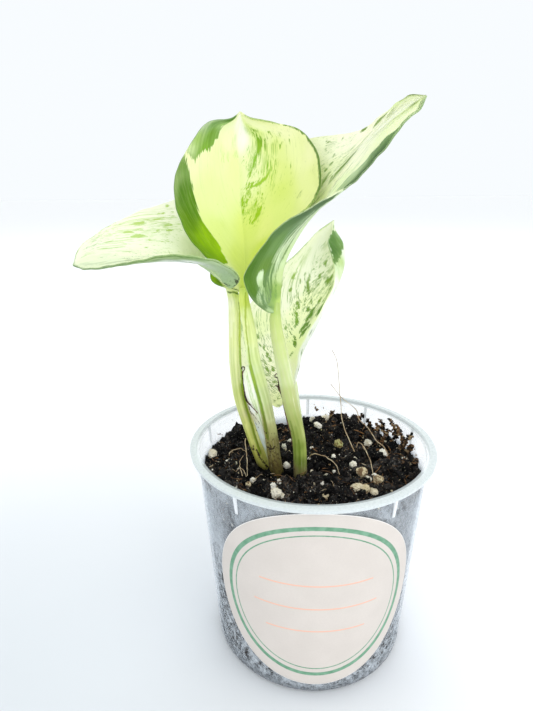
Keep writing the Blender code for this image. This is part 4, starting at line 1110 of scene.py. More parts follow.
# Tone scales each blade's ground colours: the blades that catch more light are painted darker (centre 0.86, left
# 0.9), as painted shade.
LEAVES = {
    "center_leaf": {
        "node": "leaf_center", "tone": 0.86, "ink": 0.86, "blots": 0.5, "upper": -1, "sweep": 0.55, "rib": 0.75,
            "veins": 0.02, "streaks": 0.25, "over": CENTER_OVER, "under": CENTER_UNDER,
        "midrib": [(-18, 1, 98.5), (-17, 0.5, 103.5), (-17.5, 3, 111), (-18.5, 6.5, 119.5), (-19, 9, 129),
            (-19, 10, 136), (-18.5, 9, 141)],
        "left": [(-18, 1, 98.5), (-21.5, -1, 100), (-25, -2, 102), (-25.2, -2.3, 106.5), (-29, -3, 111),
            (-32.5, -2, 118), (-33, 0, 126), (-30, 3.5, 133), (-26, 6.5, 138.5), (-20.5, 8.5, 139.5),
            (-18.5, 9, 141)],
        "left_belly": [(-1, 1.5, 0), (-1.5, 3.5, 0), (-1, 2, 0.5)],
        "margins": [(0.8, 45, 100, 52, 100, 58, 100, 64, 100, 70, 100, 78, 100, 84, 100),
            (0.35, 84, 100, 90, 100, 97, 100), (0.3, 20, 100, 30, 100, 45, 100)],
        "right": [(-18, 1, 98.5), (-15.5, -1, 100.5), (-13, -3, 104.5), (-10, -5.5, 109.5), (-7, -7.5, 114),
            (-4, -8.5, 117), (-1.8, -9, 119), (0, -8.5, 121.5), (1, -6.5, 125), (0, -2, 131), (-4, 3, 136),
            (-9.5, 7, 138), (-16, 8.5, 139.5), (-18.5, 9, 141)],
        "right_belly": [(1, 1.5, 0), (1.5, 3.5, 0), (1, 2, 0.5)],
    },
    "left_leaf": {
        "node": "leaf_left", "tone": 0.9, "ink": 0.95, "blots": 0.6, "upper": -1, "sweep": 0.8, "rib": 0.6,
            "veins": 0.03, "streaks": 0.35, "over": LEFT_OVER, "under": LEFT_UNDER,
        "midrib": [(-28, 1.5, 106), (-33, -0.5, 107.5), (-38, -2.5, 108), (-44, -4.5, 108), (-51.5, -5.5, 107.5),
            (-58, -6, 106)],
        "left": [(-28, 1.5, 106), (-25, -4.3, 105.2), (-22.5, -6, 103), (-19.5, -7.5, 101), (-17, -10, 103.5),
            (-19.5, -13, 107), (-24, -16, 109), (-29, -17.5, 109.5), (-34.5, -18, 109), (-40.5, -17, 108),
            (-48, -13, 106.5), (-54.5, -8.5, 105.5), (-58, -6, 106)],
        "left_belly": [(0, 0.5, 1), (0, -2, -2), (0, -1, -1.5)],
        "right": [(-28, 1.5, 106), (-27, 5.5, 107.8), (-25, 11, 111), (-26, 16, 116.5), (-32, 17.5, 121.5),
            (-38.5, 16, 120.7), (-44.7, 13.5, 118.5), (-50.2, 10.5, 116.3), (-54, 7, 113.9), (-56.8, 3, 111.8),
            (-58.2, -2, 109.2), (-58, -6, 106)],
        "right_belly": [(0, 1, -1.5), (0, 2, -2), (0, 1, -1)],
        "margins": [(0.45, 30, -100, 40, -100, 50, -100, 60, -100, 70, -100, 80, -100, 90, -100, 97, -100),
            (0.6, 95, -100, 98, -100, 100, -100), (0.55, 90, 100, 95, 100, 100, 100),
            (0.3, 70, 100, 80, 100, 90, 100)],
    },
    "right_leaf": {
        "node": "leaf_right", "tone": 1, "ink": 0.88, "blots": 0.5, "upper": 1, "sweep": 1, "rib": 0.85,
            "veins": 0.03, "streaks": 0.3, "over": RIGHT_OVER, "under": RIGHT_UNDER,
        "midrib": [(-9, -5, 95.5), (-8.5, -4.5, 101.5), (-7.5, -4, 106.5), (-5, -4, 111.5), (-2, -5, 116),
            (1.5, -7, 120), (5, -10, 125), (9, -14, 130.5), (14, -19, 135), (19, -23, 138)],
        "left": [(-9, -5, 95.5), (-10, -7, 95), (-13, -9.5, 97.5), (-15, -11.5, 101), (-15.5, -12.5, 104.5),
            (-13.5, -13, 108), (-10.5, -13, 112), (-6.5, -13.5, 116), (-0.5, -14.5, 119.5), (5.5, -18, 122.5),
            (9.5, -22, 126), (12, -25.5, 129), (14, -26, 132.5), (16, -25, 134.5), (18, -24, 136), (19, -23, 138)],
        "left_belly": [(-0.3, -2, 0.5), (0.5, -2, 0), (0, -1, 0)],
        "right": [(-9, -5, 95.5), (-10.5, 1, 98.5), (-12, 8, 104.5), (-13.5, 13, 111.5), (-13.5, 15.5, 120.5),
            (-11, 15, 128.5), (-6.5, 11.5, 133), (-1, 7, 134.5), (5.5, 0, 134.5), (9, -5, 134.5),
            (11.5, -8.5, 135.5), (13.5, -13, 137), (15.5, -17.5, 138), (17, -20.5, 138.5), (19, -23, 138)],
        "right_belly": [(0, 1, -0.5), (1, 1.5, -1), (0.5, 0.5, -1)],
        "margins": [(0.5, 62, -100, 70, -100, 78, -100, 86, -100, 92, -100), (0.4, 92, -100, 96, -100, 100, -100),
            (0.55, 90, 100, 95, 100, 100, 100), (0.4, 20, -100, 30, -100, 45, -100, 60, -100),
            (0.5, 3, -100, 10, -100, 15, -100, 20, -100)],
    },
    "back_leaf": {
        "node": "leaf_back", "tone": 1, "ink": 1, "blots": 0.56, "upper": -1, "sweep": 0.62, "rib": 0.7,
            "veins": 0.03, "streaks": 0.25, "over": BACK_OVER, "under": BACK_UNDER,
        "midrib": [(-5.5, 9, 72.5), (-4.5, 13, 81.5), (-3, 17, 92), (-1, 20, 101), (1.5, 21, 108), (5, 20, 115)],
        "left": [(-5.5, 9, 72.5), (-7, 8.5, 67), (-9.5, 8.5, 64), (-13, 10, 65.5), (-18, 12, 70.5), (-21.5, 14, 79),
            (-20.5, 16, 88), (-15.5, 18, 95.2), (-9.3, 19.5, 102), (-3.1, 20.5, 107.8), (0.7, 20.5, 112),
            (5, 20, 115)],
        "left_belly": [(-1, 1.5, 0), (-1, 3, 0), (0, 1, 0)],
        "right": [(-5.5, 9, 72.5), (-5, 7.5, 71.5), (-4.3, 6.5, 76.5), (-3, 6, 82.5), (-0.5, 7, 88), (2.3, 9, 93),
            (5, 11, 97.5), (5.5, 12.5, 102), (4.5, 14, 106), (3.5, 16, 109.5), (4.5, 18, 112), (5, 20, 115)],
        "right_belly": [(2, 1, 0), (5.5, 2, 0), (12.5, 2, 1)],
        "margins": [(0.3, 60, -100, 70, -100, 80, -100, 86, -100), (0.35, 93, -100, 97, -100, 100, -100),
            (0.35, 72, 100, 80, 100, 90, 100)],
    },
}


def blade_surface(leaf):
    """Rows of points of the blade's middle surface with their two shares: along, and across from -1 to 1."""
    along = np.linspace(0, 1, BLADE_ALONG + 1)
    step = np.linspace(-1, 1, 2 * BLADE_ACROSS + 1)
    across = np.sign(step) * np.abs(step) ** ROW_CROWDING
    rib = curve(leaf["midrib"], along ** MIDRIB_LAG)
    rows = np.zeros((len(along), len(across), 3))
    for side, chosen in (("left", across < 0), ("right", across >= 0)):
        margin = curve(leaf[side], along)
        stops = np.vstack([np.zeros(3), leaf[side + "_belly"], np.zeros(3)])
        middle = (rib + margin) / 2
        for i in range(len(BELLY_SHARES) - 1):
            low, high = BELLY_SHARES[i:i + 2]
            here = (along >= low) & (along <= high)
            t = (along[here] - low) / (high - low)
            rise = (t * t * (3 - 2 * t))[:, None]
            middle[here] = (rib + margin)[here] / 2 + stops[i] + (stops[i + 1] - stops[i]) * rise
        for j in np.where(chosen)[0]:
            w = abs(across[j])
            rows[:, j] = (1 - w) ** 2 * rib + 2 * w * (1 - w) * middle + w ** 2 * margin
    return along, across, rows, rib


def drawn(places, surface, strokes):
    """Millimetres inside the strokes drawn on the blade, less than 0 outside. A stroke tapers to its ends."""
    along, across, rows = surface
    deepest = np.full(len(places), OUTSIDE)
    for width, *path in strokes:
        path = paired(path, BLADE_UNITS)
        count = 5 * (len(path) - 1) + 1
        t = np.linspace(0, len(path) - 1, count)
        u, v = (np.interp(t, np.arange(len(path)), path[:, k]) for k in (0, 1))
        i, j = np.interp(u, along, np.arange(len(along))), np.interp(v, across, np.arange(len(across)))
        low_i, low_j = np.minimum(i.astype(int), len(along) - 2), np.minimum(j.astype(int), len(across) - 2)
        i, j = (i - low_i)[:, None], (j - low_j)[:, None]
        line = ((1 - i) * (1 - j) * rows[low_i, low_j] + i * (1 - j) * rows[low_i + 1, low_j]
                + (1 - i) * j * rows[low_i, low_j + 1] + i * j * rows[low_i + 1, low_j + 1])
        near = np.where((np.abs(places - line.mean(0)) < np.ptp(line, axis=0) / 2 + width + 1).all(1))[0]
        for k in range(count - 1):
            half = width / 2 * (1 - 0.7 * (2 * (k + 0.5) / (count - 1) - 1) ** 2)
            deepest[near] = np.maximum(deepest[near], half - to_line(places[near], line[k], line[k + 1]))
    return deepest


def marks_of(where, places, surface, side, margins, size):
    """Ground and mark colours, millimetres inside the sectors, flecks and hazes, and how dense small flecks are."""
    ground, mark = (from_stops(where, side[key], size, BLADE_UNITS) for key in ("ground", "mark"))
    sector = np.full(len(where), OUTSIDE)
    for outline in side.get("sectors", []):
        sector = np.maximum(sector, inside_by(where, outline, size))
    if "cuts" in side:
        sector = np.minimum(sector, -1.7 * drawn(places, surface, side["cuts"]))
    dense = np.zeros(len(where))
    for a, b, wide, tall, amount in np.array(side["dense"]) / 100:
        off = ((where[:, 0] - a) / wide) ** 2 + ((where[:, 1] - b) / tall) ** 2
        dense = np.maximum(dense, amount * np.clip(1.5 - off * 0.75, 0, 1))
    return (ground, mark, sector, drawn(places, surface, side.get("flecks", []) + margins),
            drawn(places, surface, side.get("haze", [])), dense)


def blade(name, leaf):
    along, across, rows, rib = blade_surface(leaf)
    obj = fresh(bpy.ops.mesh.primitive_grid_add,
            x_subdivisions=BLADE_ALONG, y_subdivisions=2 * BLADE_ACROSS, size=2)
    name_it(obj, name)
    grid = places_of(obj)
    i = np.rint((grid[:, 0] + 1) / 2 * BLADE_ALONG).astype(int)
    j = np.rint((grid[:, 1] + 1) / 2 * 2 * BLADE_ACROSS).astype(int)
    normal = np.cross(np.gradient(rows, axis=0), np.gradient(rows, axis=1))
    normal[0], normal[-1] = normal[2], normal[-3]
    normal /= np.maximum(np.linalg.norm(normal, axis=2, keepdims=True), 1e-9)
    put_places(obj, rows[i, j] * MM)
    off = np.linalg.norm(rows[i, j] - rib[i], axis=1)
    give(obj, "spot", "FLOAT_VECTOR", np.stack([along[i], across[j], off], 1))
    give(obj, "middle", "FLOAT_VECTOR", rows[i, j])
    give(obj, "face", "FLOAT_VECTOR", normal[i, j])
    use_modifier(obj, "SOLIDIFY", thickness=BLADE_THICKNESS * MM, offset=0)
    spot, middle, face = taken(obj, "spot"), taken(obj, "middle"), taken(obj, "face")
    places = places_of(obj) / MM
    outward = np.sign(((places - middle) * face).sum(1))
    side = outward * leaf["upper"]
    share, apart = spot[:, 0], spot[:, 2]
    length = np.linalg.norm(np.diff(rib, axis=0), axis=1).sum()
    width = np.linalg.norm(rows[:, -1] - rib, axis=1).max() / 2 + np.linalg.norm(rows[:, 0] - rib, axis=1).max() / 2
    size = np.array([length, width])
    across_veins = length * (share - leaf["sweep"] * np.abs(spot[:, 1]) ** 1.2)
    along_veins = apart * math.hypot(1, leaf["sweep"])
    fade = np.clip(share / 0.03, 0, 1) * np.clip((1 - share) / 0.05, 0, 1)
    flank = np.clip(1 - np.abs(spot[:, 1]), 0, 1) * np.clip(apart / 2.5, 0, 1)
    veins = leaf["veins"] * np.cos(across_veins * 2 * math.pi / 3.1) * flank * fade
    keel = leaf["rib"] * (1 - share) ** 1.3 + 0.05
    groove = -0.2 * np.exp(-(apart / 0.6) ** 2) * (1 - share) ** 0.6 * fade
    ridge = keel * np.exp(-(apart / (0.45 + 0.75 * keel)) ** 2) * fade
    lift = outward * np.where(side > 0, veins + groove, -veins + ridge)
    wave = np.array([noise.noise(Vector(p) * 0.16) + 0.5 * noise.noise(Vector(p) * 0.4) for p in middle])
    lift += 0.5 * wave * np.abs(spot[:, 1]) ** 2 * fade
    put_places(obj, (places + face * lift[:, None]) * MM)
    surface = (along, across, rows)
    over, under = (marks_of(spot[:, :2], middle, surface, leaf[key], leaf["margins"], size)
            for key in ("over", "under"))
    ground, mark, sector, fleck, haze, dense = (np.where(side[:, None] > 0 if a.ndim > 1 else side > 0, a, b)
            for a, b in zip(over, under))
    whole = np.ones((len(places), 1))
    # Ground times the leaf's tone: painted shade on the blades that catch more light.
    give(obj, "ground", "FLOAT_COLOR", np.hstack([ground * leaf["tone"], whole]))
    give(obj, "mark", "FLOAT_COLOR", np.hstack([mark * leaf["ink"], whole]))
    give(obj, "painted", "FLOAT_VECTOR", np.stack([sector, fleck, haze], 1))
    give(obj, "dense", "FLOAT", dense)
    give(obj, "vein", "FLOAT_VECTOR", np.stack([across_veins, along_veins, np.sign(spot[:, 1]) * 9 + side * 31], 1))
    tidy_mesh(obj, 60)
    return obj


def leaf_skin(name, leaf, settings):
    """Living leaf: pale ground, fine streaks along the side veins, crisp green flecks and ragged green sectors."""
    f = Finish(name)
    vein = f.attribute("vein", "Vector")
    ground, mark = f.attribute("ground", "Color"), f.attribute("mark", "Color")
    painted = f.attribute("painted", "Vector")
    sector, stroke, haze = f.parts(painted)
    dense = f.attribute("dense")
    streaks = f.grain(f.stretched(vein, 1.0, 0.16, 1), 0.8, 4, 0.62)
    fine = f.grain(f.stretched(vein, 1, 0.45, 1, (3, 8, 2)), 0.34, 3, 0.65)
    blots = f.grain(f.stretched(vein, 1.0, 0.55, 1, (5, 1, 7)), leaf["blots"], 3, 0.7, 0.5)
    dust = f.grain(f.stretched(vein, 1.0, 0.6, 1, (9, 3, 2)), 0.33, 2, 0.6)
    clump = f.grain(f.stretched(vein, 1, 0.5, 1, (2, 6, 4)), 3.2, 2)
    dense = f.times(dense, f.between(clump, 0.38, 0.62, 0.6, 1.35))
    pale_mark = f.mix(0.5, ground, mark)
    base = f.mix(f.between(streaks, 0.54, 0.7, 0.0, leaf["streaks"]), ground, f.mix(0.4, ground, mark))
    over_cut = f.less(blots, f.less(0.71, f.times(dense, 0.3)))
    veil = f.most(f.between(over_cut, -0.08, 0.0, 0.0, 0.5),
            f.between(f.plus(haze, f.between(blots, 0.3, 0.7, -0.9, 0.9)), -0.3, 0.5, 0.0, 0.9))
    base = f.mix(f.times(veil, f.between(fine, 0.34, 0.6, 0.3, 1.0)), base, pale_mark)
    core = f.most(f.between(over_cut, 0.0, 0.03), f.between(f.plus(stroke, f.between(
            fine, 0.3, 0.7, -0.34, 0.3)), -0.04, 0.08))
    specks = f.less(dust, f.less(0.75, f.times(dense, 0.42)))
    core = f.most(core, f.between(specks, 0.0, 0.05, 0.0, 0.7))
    ragged = f.grain(f.stretched(vein, 1.0, 0.2, 1, (1, 4, 9)), 0.8, 3, 0.6)
    edge = f.plus(sector, f.times(f.less(ragged, 0.5), settings.ragged))
    inside = f.between(edge, -0.08, 0.1)
    green = f.mix(f.between(streaks, 0.4, 0.75, 0.0, 0.4), mark, f.mix(0.3, mark, ground))
    shade = f.grain(f.stretched(vein, 1.0, 0.25, 1, (8, 2, 5)), 1.3, 3, 0.6)
    green = f.mix(f.between(shade, 0.42, 0.6, 0.0, 0.4), green, f.mix(0.45, mark, display(40, 84, 4)))
    green = f.mix(f.between(fine, 0.4, 0.66, 0.0, 0.4), green, f.mix(0.4, mark, display(36, 66, 16)))
    colour = f.mix(inside, f.mix(f.times(core, 0.92), base, mark), green)
    f.set(Base_Color=colour, Roughness=f.between(fine, 0.25, 0.75, 0.42, 0.58), Specular_IOR_Level=0.07)
    f.set(Subsurface_Weight=settings.glow, Subsurface_Radius=(1.0, 1.0, 0.5), Subsurface_Scale=0.25 * MM)
    f.set(Normal=f.bump(fine, 0.04, 0.5, f.bump(streaks, 0.08, 0.35)))
    return f.material


# ---------------------------------------------------------------- stalks

# Stations (x, y, z, radius), near those of the solids. A place on a stalk is percent from foot to top, then
# degrees round it from the front, the right side being 90. Lines are (width in millimetres, places), and
# dirt is percent from foot to top with its amount in percent.
STALKS = {
    "left_stalk": {
        "node": "petiole_left", "groove": 45,
        "stations": [(-10.5, 2.6, 43.6, 1.7), (-13, 0.5, 50, 1.7), (-17.4, 1.5, 63, 1.75), (-19.5, 2, 70, 1.65),
            (-20.5, 2.5, 80, 1.65), (-20.5, 3.5, 90.5, 1.6), (-20.8, 4.8, 96, 1.55), (-22.2, 6.2, 100, 1.4),
            (-24.6, 6.4, 103, 1.3), (-26.6, 4.7, 104.7, 1.2), (-28.2, 1.9, 105.7, 1)],
        "ground": [(8, 0, 132, 126, 56), (10, -60, 128, 124, 52), (15, 0, 182, 182, 88), (15, -50, 170, 168, 76),
            (20, -30, 200, 204, 110), (25, -30, 214, 218, 132), (32, -30, 224, 230, 152), (42, -20, 232, 238, 172),
            (50, -10, 236, 240, 184), (60, -10, 238, 241, 196), (68, -20, 244, 246, 206), (74, -20, 236, 244, 178),
            (12, 60, 196, 198, 104), (20, 75, 214, 216, 140), (28, 80, 216, 206, 164), (38, 60, 214, 224, 140),
            # The darker green ground at about 72 to 78 percent, just under the blade's lip, is painted shade.
            (50, 45, 234, 238, 172), (60, 45, 234, 239, 172), (68, 50, 228, 238, 158), (72, 60, 206, 222, 118),
            (78, 20, 204, 220, 110), (86, 0, 212, 226, 124), (60, -80, 224, 230, 176), (50, 180, 214, 226, 160),
            (95, 0, 196, 216, 120)],
        "mark": [(20, 30, 120, 138, 30), (30, 45, 126, 150, 28), (45, 60, 132, 166, 30), (60, 60, 180, 200, 70),
            (72, 30, 66, 104, 20)],
        "lines": [(0.75, 15.5, 26, 20, 32, 25, 40, 30, 46, 35, 56, 40, 63),
            (0.45, 38, 60, 45, 66, 50, 64, 58, 63, 68, 68), (0.5, 73.5, -34, 72.7, -10, 72.4, 30, 71.5, 75)],
        "haze": [(0.6, 20, 12, 30, 28, 40, 46), (0.3, 25, -20, 40, -10, 60, 0), (0.3, 20, -45, 35, -35, 55, -25)],
        "dry": [(0.42, 17.2, -52, 16.8, -20, 16.3, 2, 15.5, 7, 14.5, 6, 13.3, 14, 12.1, 30, 11.1, 34, 10, 48),
            (0.3, 17.8, -12, 16.8, -18), (0.28, 11.6, 36, 12.2, 52), (0.3, 31, 74, 30, 82),
            (0.35, 28.5, 70, 28, 84), (0.25, 26.2, 78, 25, 84), (0.2, 24, 70, 23.6, 80), (0.2, 21.5, 66, 21, 74),
            (0.4, 17, -86, 15, -84)],
        "dirt": [0, 100, 9, 95, 13, 55, 20, 30, 26, 12, 34, 0],
    },
    "center_stalk": {
        "node": "petiole_center", "groove": -32,
        "stations": [(-7.4, -1.4, 43.3, 1.8), (-9.3, -2.5, 51, 1.8), (-10.8, -3, 62.5, 1.75),
            (-12.4, -2.5, 71, 1.75), (-13.6, -2, 76, 1.75), (-15.2, -1, 82, 1.7), (-16.2, 0, 89, 1.6),
            (-17.5, 0.8, 96.5, 1.3), (-17.6, 0.9, 100, 1.05)],
        "ground": [(8, 0, 84, 78, 38), (14, 0, 104, 94, 48), (20, 0, 128, 118, 66), (25, -10, 140, 134, 78),
            (30, -20, 150, 148, 90), (22, 50, 160, 156, 98), (30, 40, 196, 200, 134), (36, 30, 208, 216, 158),
            (45, 20, 216, 228, 168), (55, 15, 222, 234, 168), (65, 10, 226, 238, 172), (75, 0, 230, 240, 170),
            (85, 20, 226, 238, 160), (92, -40, 220, 234, 120), (90, 40, 206, 222, 100), (80, -60, 234, 242, 172),
            (70, -60, 232, 242, 188), (60, -70, 226, 238, 196), (45, -75, 216, 226, 180), (35, -80, 190, 186, 140),
            (28, -80, 164, 154, 104), (60, 180, 210, 224, 160), (100, 0, 206, 224, 112)],
        "mark": [(30, -30, 110, 126, 34), (45, -30, 126, 158, 44), (60, -38, 150, 180, 60),
            (80, -20, 166, 188, 56)],
        "lines": [(0.95, 27, -30, 35, -28, 40, -31, 45, -36, 50, -40, 56, -41, 62, -38), (0.5, 55, -40, 62, -37,
            70, -27, 78, -28, 84, -6, 90, 24, 96, 30)],
        "haze": [(0.9, 30, -30, 45, -34, 60, -34, 70, -24), (0.4, 35, 20, 50, 8, 65, 0, 80, 4),
            (0.3, 35, 52, 50, 40, 70, 36)],
        "dry": [(0.45, 23.6, -66, 23, -30, 22.8, 0, 23.6, 26), (0.3, 25, -24, 23.6, -5),
            (0.3, 22.4, -44, 21.8, -20), (0.3, 34.5, -78, 33, -72), (0.25, 32, -74, 30.5, -66),
            (0.2, 36, -74, 35.2, -66), (0.3, 30, -60, 29, -40)],
        "dirt": [0, 100, 16, 100, 24, 85, 30, 60, 34, 22, 40, 0],
    },
    "right_stalk": {
        "node": "petiole_right", "groove": -150,
        "stations": [(-2.2, -0.8, 43.5, 1.8), (-2.7, -5, 51, 1.75), (-3.1, -6.5, 61.5, 1.75),
            (-5.4, -7, 72.5, 1.85), (-7.5, -6.5, 83.5, 1.75), (-9, -6, 92, 1.45), (-9, -5, 97.6, 0.95)],
        "ground": [(12, 0, 110, 104, 56), (18, 0, 142, 140, 84), (20, -60, 124, 112, 76), (25, 0, 122, 138, 62),
            (32, 0, 128, 148, 62), (30, 45, 170, 186, 96), (38, 0, 152, 166, 82), (38, 60, 190, 200, 122),
            (45, 0, 168, 180, 102), (50, 0, 176, 186, 116), (56, 0, 186, 195, 130), (65, 0, 199, 208, 150),
            (75, 0, 202, 213, 150), (83, 0, 196, 209, 136), (88, -20, 188, 205, 124), (95, -20, 176, 198, 112),
            (100, -10, 168, 192, 104), (65, 80, 222, 232, 186), (65, -80, 214, 226, 172), (50, 180, 204, 216, 156)],
        "mark": [(20, 0, 92, 112, 30), (35, 0, 108, 130, 44), (60, 0, 176, 200, 110), (80, 0, 190, 212, 120)],
        "lines": [(0.4, 24, 0, 30, 0, 36, 2), (0.3, 26, -42, 36, -30, 45, -28)],
        "haze": [(0.7, 20, -5, 32, -2, 42, 4), (0.4, 25, -45, 40, -38, 50, -40), (0.4, 25, 34, 40, 30, 50, 22),
            (0.35, 50, -10, 62, -20, 80, -16), (0.35, 55, 25, 70, 10, 85, 16), (0.3, 60, 55, 75, 40, 90, 30)],
        "dry": [(0.3, 41, -66, 40, -56, 38.5, -62), (0.35, 16, -80, 24, -82, 30, -84), (0.3, 20, -60, 21, -52)],
        "dirt": [0, 100, 15, 90, 20, 50, 25, 20, 30, 0],
    },
    "back_stalk": {
        "node": "petiole_back", "groove": 170,
        "stations": [(-3.8, 3.4, 43.3, 1.4), (-2.5, 2.5, 48.5, 1.4), (-3, 4, 56, 1.3), (-4.5, 6.5, 66, 1.25),
            (-5.3, 8.6, 72.3, 1)],
        "ground": [(20, 0, 116, 124, 60), (50, 0, 190, 202, 140), (80, 0, 214, 226, 176), (60, 180, 200, 214, 150)],
        "mark": [(50, 0, 150, 172, 90)],
        "lines": [(0.4, 20, -30, 90, -30)],
        "dirt": [0, 100, 30, 60, 50, 0],
    },
}
STALK_ALONG = 220
STALK_AROUND = 52
STALK_STEPS = 400
SHEATH_ALONG = 90
SHEATH_ACROSS = 20

# Thin dry skin between the left and centre stalks: (x, y, z) of its free edge and of its foot on the stalk
SHEATH_THICKNESS = 0.3
SHEATH_EDGE = [(-17.9, -2.8, 79.5), (-17.7, -3, 75.7), (-17.4, -3.1, 73), (-16.9, -2.9, 70.8), (-16.2, -1.5, 67),
        (-15.5, -0.8, 64.5), (-14.7, 0, 61.3), (-13.7, 0, 58), (-12.6, -0.3, 55), (-11.6, -0.8, 52), (-11, -1, 49)]
SHEATH_FOOT = [(-16.6, -1.6, 80), (-15, -2.5, 75.6), (-14.2, -3, 72), (-13.3, -3.2, 69), (-12.6, -3.3, 66),
        (-12, -3.2, 63), (-11.6, -3.2, 60), (-11.3, -3, 57), (-11, -2.9, 54), (-10.6, -2.8, 51), (-10.2, -2.5, 48)]
SHEATH = {
    # The bluish white stops at 55 to 70 percent along the middle are a painted highlight strip.
    "ground": [(2, 0, 244, 248, 226), (20, 0, 250, 252, 240), (35, -0.4, 252, 253, 246), (30, 0.7, 232, 240, 204),
        (45, 0.4, 226, 234, 206), (45, -0.8, 214, 206, 170), (55, 0, 228, 238, 232), (62, -0.2, 226, 240, 242),
        (55, 0.8, 196, 192, 150), (70, 0, 216, 232, 232), (68, 0.8, 176, 172, 120), (80, -0.3, 206, 214, 160),
        (80, 0.6, 176, 176, 104), (90, 0, 176, 176, 92), (100, 0, 120, 112, 60)],
    "mark": [(20, 0, 176, 204, 130), (60, 0, 150, 170, 100), (90, 0, 120, 124, 50)],
    "lines": [(0.2, 6, -0.2, 20, -0.1, 40, 0.1), (0.16, 10, 0.3, 25, 0.35, 45, 0.5),
        (0.14, 3, 0.1, 15, 0.1, 30, 0.25, 50, 0.6)],
    "dry": [(0.28, 0, -1, 10, -1, 20, -1, 30, -0.98, 38, -0.9), (0.2, 40, -0.6, 46, -0.1, 50, 0.3),
        (0.35, 36, -0.95, 42, -0.8), (0.3, 50, -0.8, 52, -0.6), (0.25, 56, 0.8, 60, 0.9), (0.2, 62, 0.85, 64, 0.95),
        (0.2, 54, -0.4, 55, -0.3)],
    "dirt": [0, 0, 45, 5, 60, 15, 75, 30, 88, 60, 100, 100],
}
# Dark dried edges and curls of the skins: points and radii
DRIED_EDGES = [[(-18.1, -3, 79.4, 0.14), (-17.9, -3, 79.9, 0.16), (-17.4, -3, 80, 0.16), (-17.2, -3, 79.6, 0.12),
    (-17.4, -3.1, 79.1, 0.14), (-17.7, -3.2, 78.8, 0.2), (-17.8, -3.2, 77.9, 0.16), (-17.7, -3.4, 75.9, 0.12),
    (-17.4, -3.5, 73.4, 0.16), (-17.1, -3.4, 71.6, 0.26), (-16.7, -3.4, 70.6, 0.24), (-15.6, -3.7, 69.4, 0.12),
    (-14.4, -4.1, 68.4, 0.12), (-13.9, -4.3, 67.7, 0.14)], [(-8.4, -6.8, 79.4, 0.14), (-8.8, -6.8, 79.7, 0.16),
    (-9.2, -6.8, 79.3, 0.14), (-9.1, -6.8, 78.8, 0.16), (-8.6, -6.8, 78.7, 0.14), (-8.4, -7, 78.3, 0.16),
    (-8.2, -7.2, 77.3, 0.22), (-8.1, -7.3, 76.2, 0.4), (-7.7, -7.4, 74.9, 0.26), (-7.3, -7.4, 73.5, 0.16),
    (-7.1, -7.4, 72.2, 0.16), (-6.8, -7.4, 70.6, 0.18), (-6.4, -7.4, 68.9, 0.2), (-6.1, -7.3, 67.4, 0.2),
    (-5.7, -7.2, 65.7, 0.2), (-5.3, -7.1, 64.2, 0.14), (-5, -7, 62.6, 0.12), (-4.9, -6.6, 60.4, 0.08)],
    [(-9, -6.8, 76.6, 0.12), (-8.5, -7, 76.4, 0.2), (-8.1, -7.2, 76, 0.24)]]


def stalk(name, facts):
    """A leaf stalk with a shallow channel along it, closed at both ends."""
    stations = np.array(facts["stations"], float)
    path = curve(stations, np.linspace(0, 1, STALK_STEPS + 1))
    heading = np.gradient(path[:, :3], axis=0)
    heading /= np.linalg.norm(heading, axis=1, keepdims=True)
    front = np.array([0, -1.0, 0]) - heading * (heading @ np.array([0, -1.0, 0]))[:, None]
    front /= np.linalg.norm(front, axis=1, keepdims=True)
    right = np.cross(front, heading) * -1
    length = np.linalg.norm(np.diff(path[:, :3], axis=0), axis=1).sum()
    channel = math.radians(facts["groove"])

    def shape(share, turn):
        k = share * STALK_STEPS
        low = min(int(k), STALK_STEPS - 1)
        part = k - low
        centre, forward, sideways = ((1 - part) * a[low] + part * a[low + 1] for a in (path, front, right))
        cap = min(1.0, share * length / 0.8, (1 - share) * length / 0.8)
        away = math.remainder(turn - channel, 2 * math.pi)
        dip = 0.15 * math.exp(-(away / 0.2) ** 2) - 0.05 * math.exp(-((abs(away) - 0.45) / 0.2) ** 2)
        ribs = 0.014 * math.cos(turn * 11 + share * 3)
        ribs += 0.03 * noise.noise(Vector((math.cos(turn), math.sin(turn), share * 7)))
        radius = centre[3] * (1 - dip - ribs) * math.sqrt(max(0.0, 1 - (1 - cap) ** 2))
        return centre[:3] + radius * (math.cos(turn) * forward + math.sin(turn) * sideways)

    obj = rolled(name, STALK_ALONG, STALK_AROUND, shape)
    roll = taken(obj, "roll")
    where = np.stack([roll[:, 0], np.degrees(roll[:, 1])], 1)
    size = np.array([length, math.radians(float(stations[:, 3].mean()))])
    colour_stalk(obj, where, facts, size)
    return obj


def colour_stalk(obj, where, facts, size):
    """Writes the ground, the green lines, the dried spots and the dirt of a stalk or a sheath."""
    whole = np.ones((len(where), 1))
    for key in ("ground", "mark"):
        give(obj, key, "FLOAT_COLOR", np.hstack([from_stops(where, facts[key], size, STALK_UNITS), whole]))
    found = []
    for key in ("lines", "haze", "dry"):
        inside = np.full(len(where), OUTSIDE)
        for width, *line in facts.get(key, []):
            inside = np.maximum(inside, along_by(where, line, size, width))
        found.append(inside)
    give(obj, "painted", "FLOAT_VECTOR", np.stack(found, 1))
    steps, amounts = paired(facts["dirt"], (100, 100)).T
    give(obj, "dirt", "FLOAT", np.interp(where[:, 0], steps, amounts))
    give(obj, "vein", "FLOAT_VECTOR", np.stack([where[:, 1] * size[1], where[:, 0] * size[0], where[:, 0] * 0], 1))


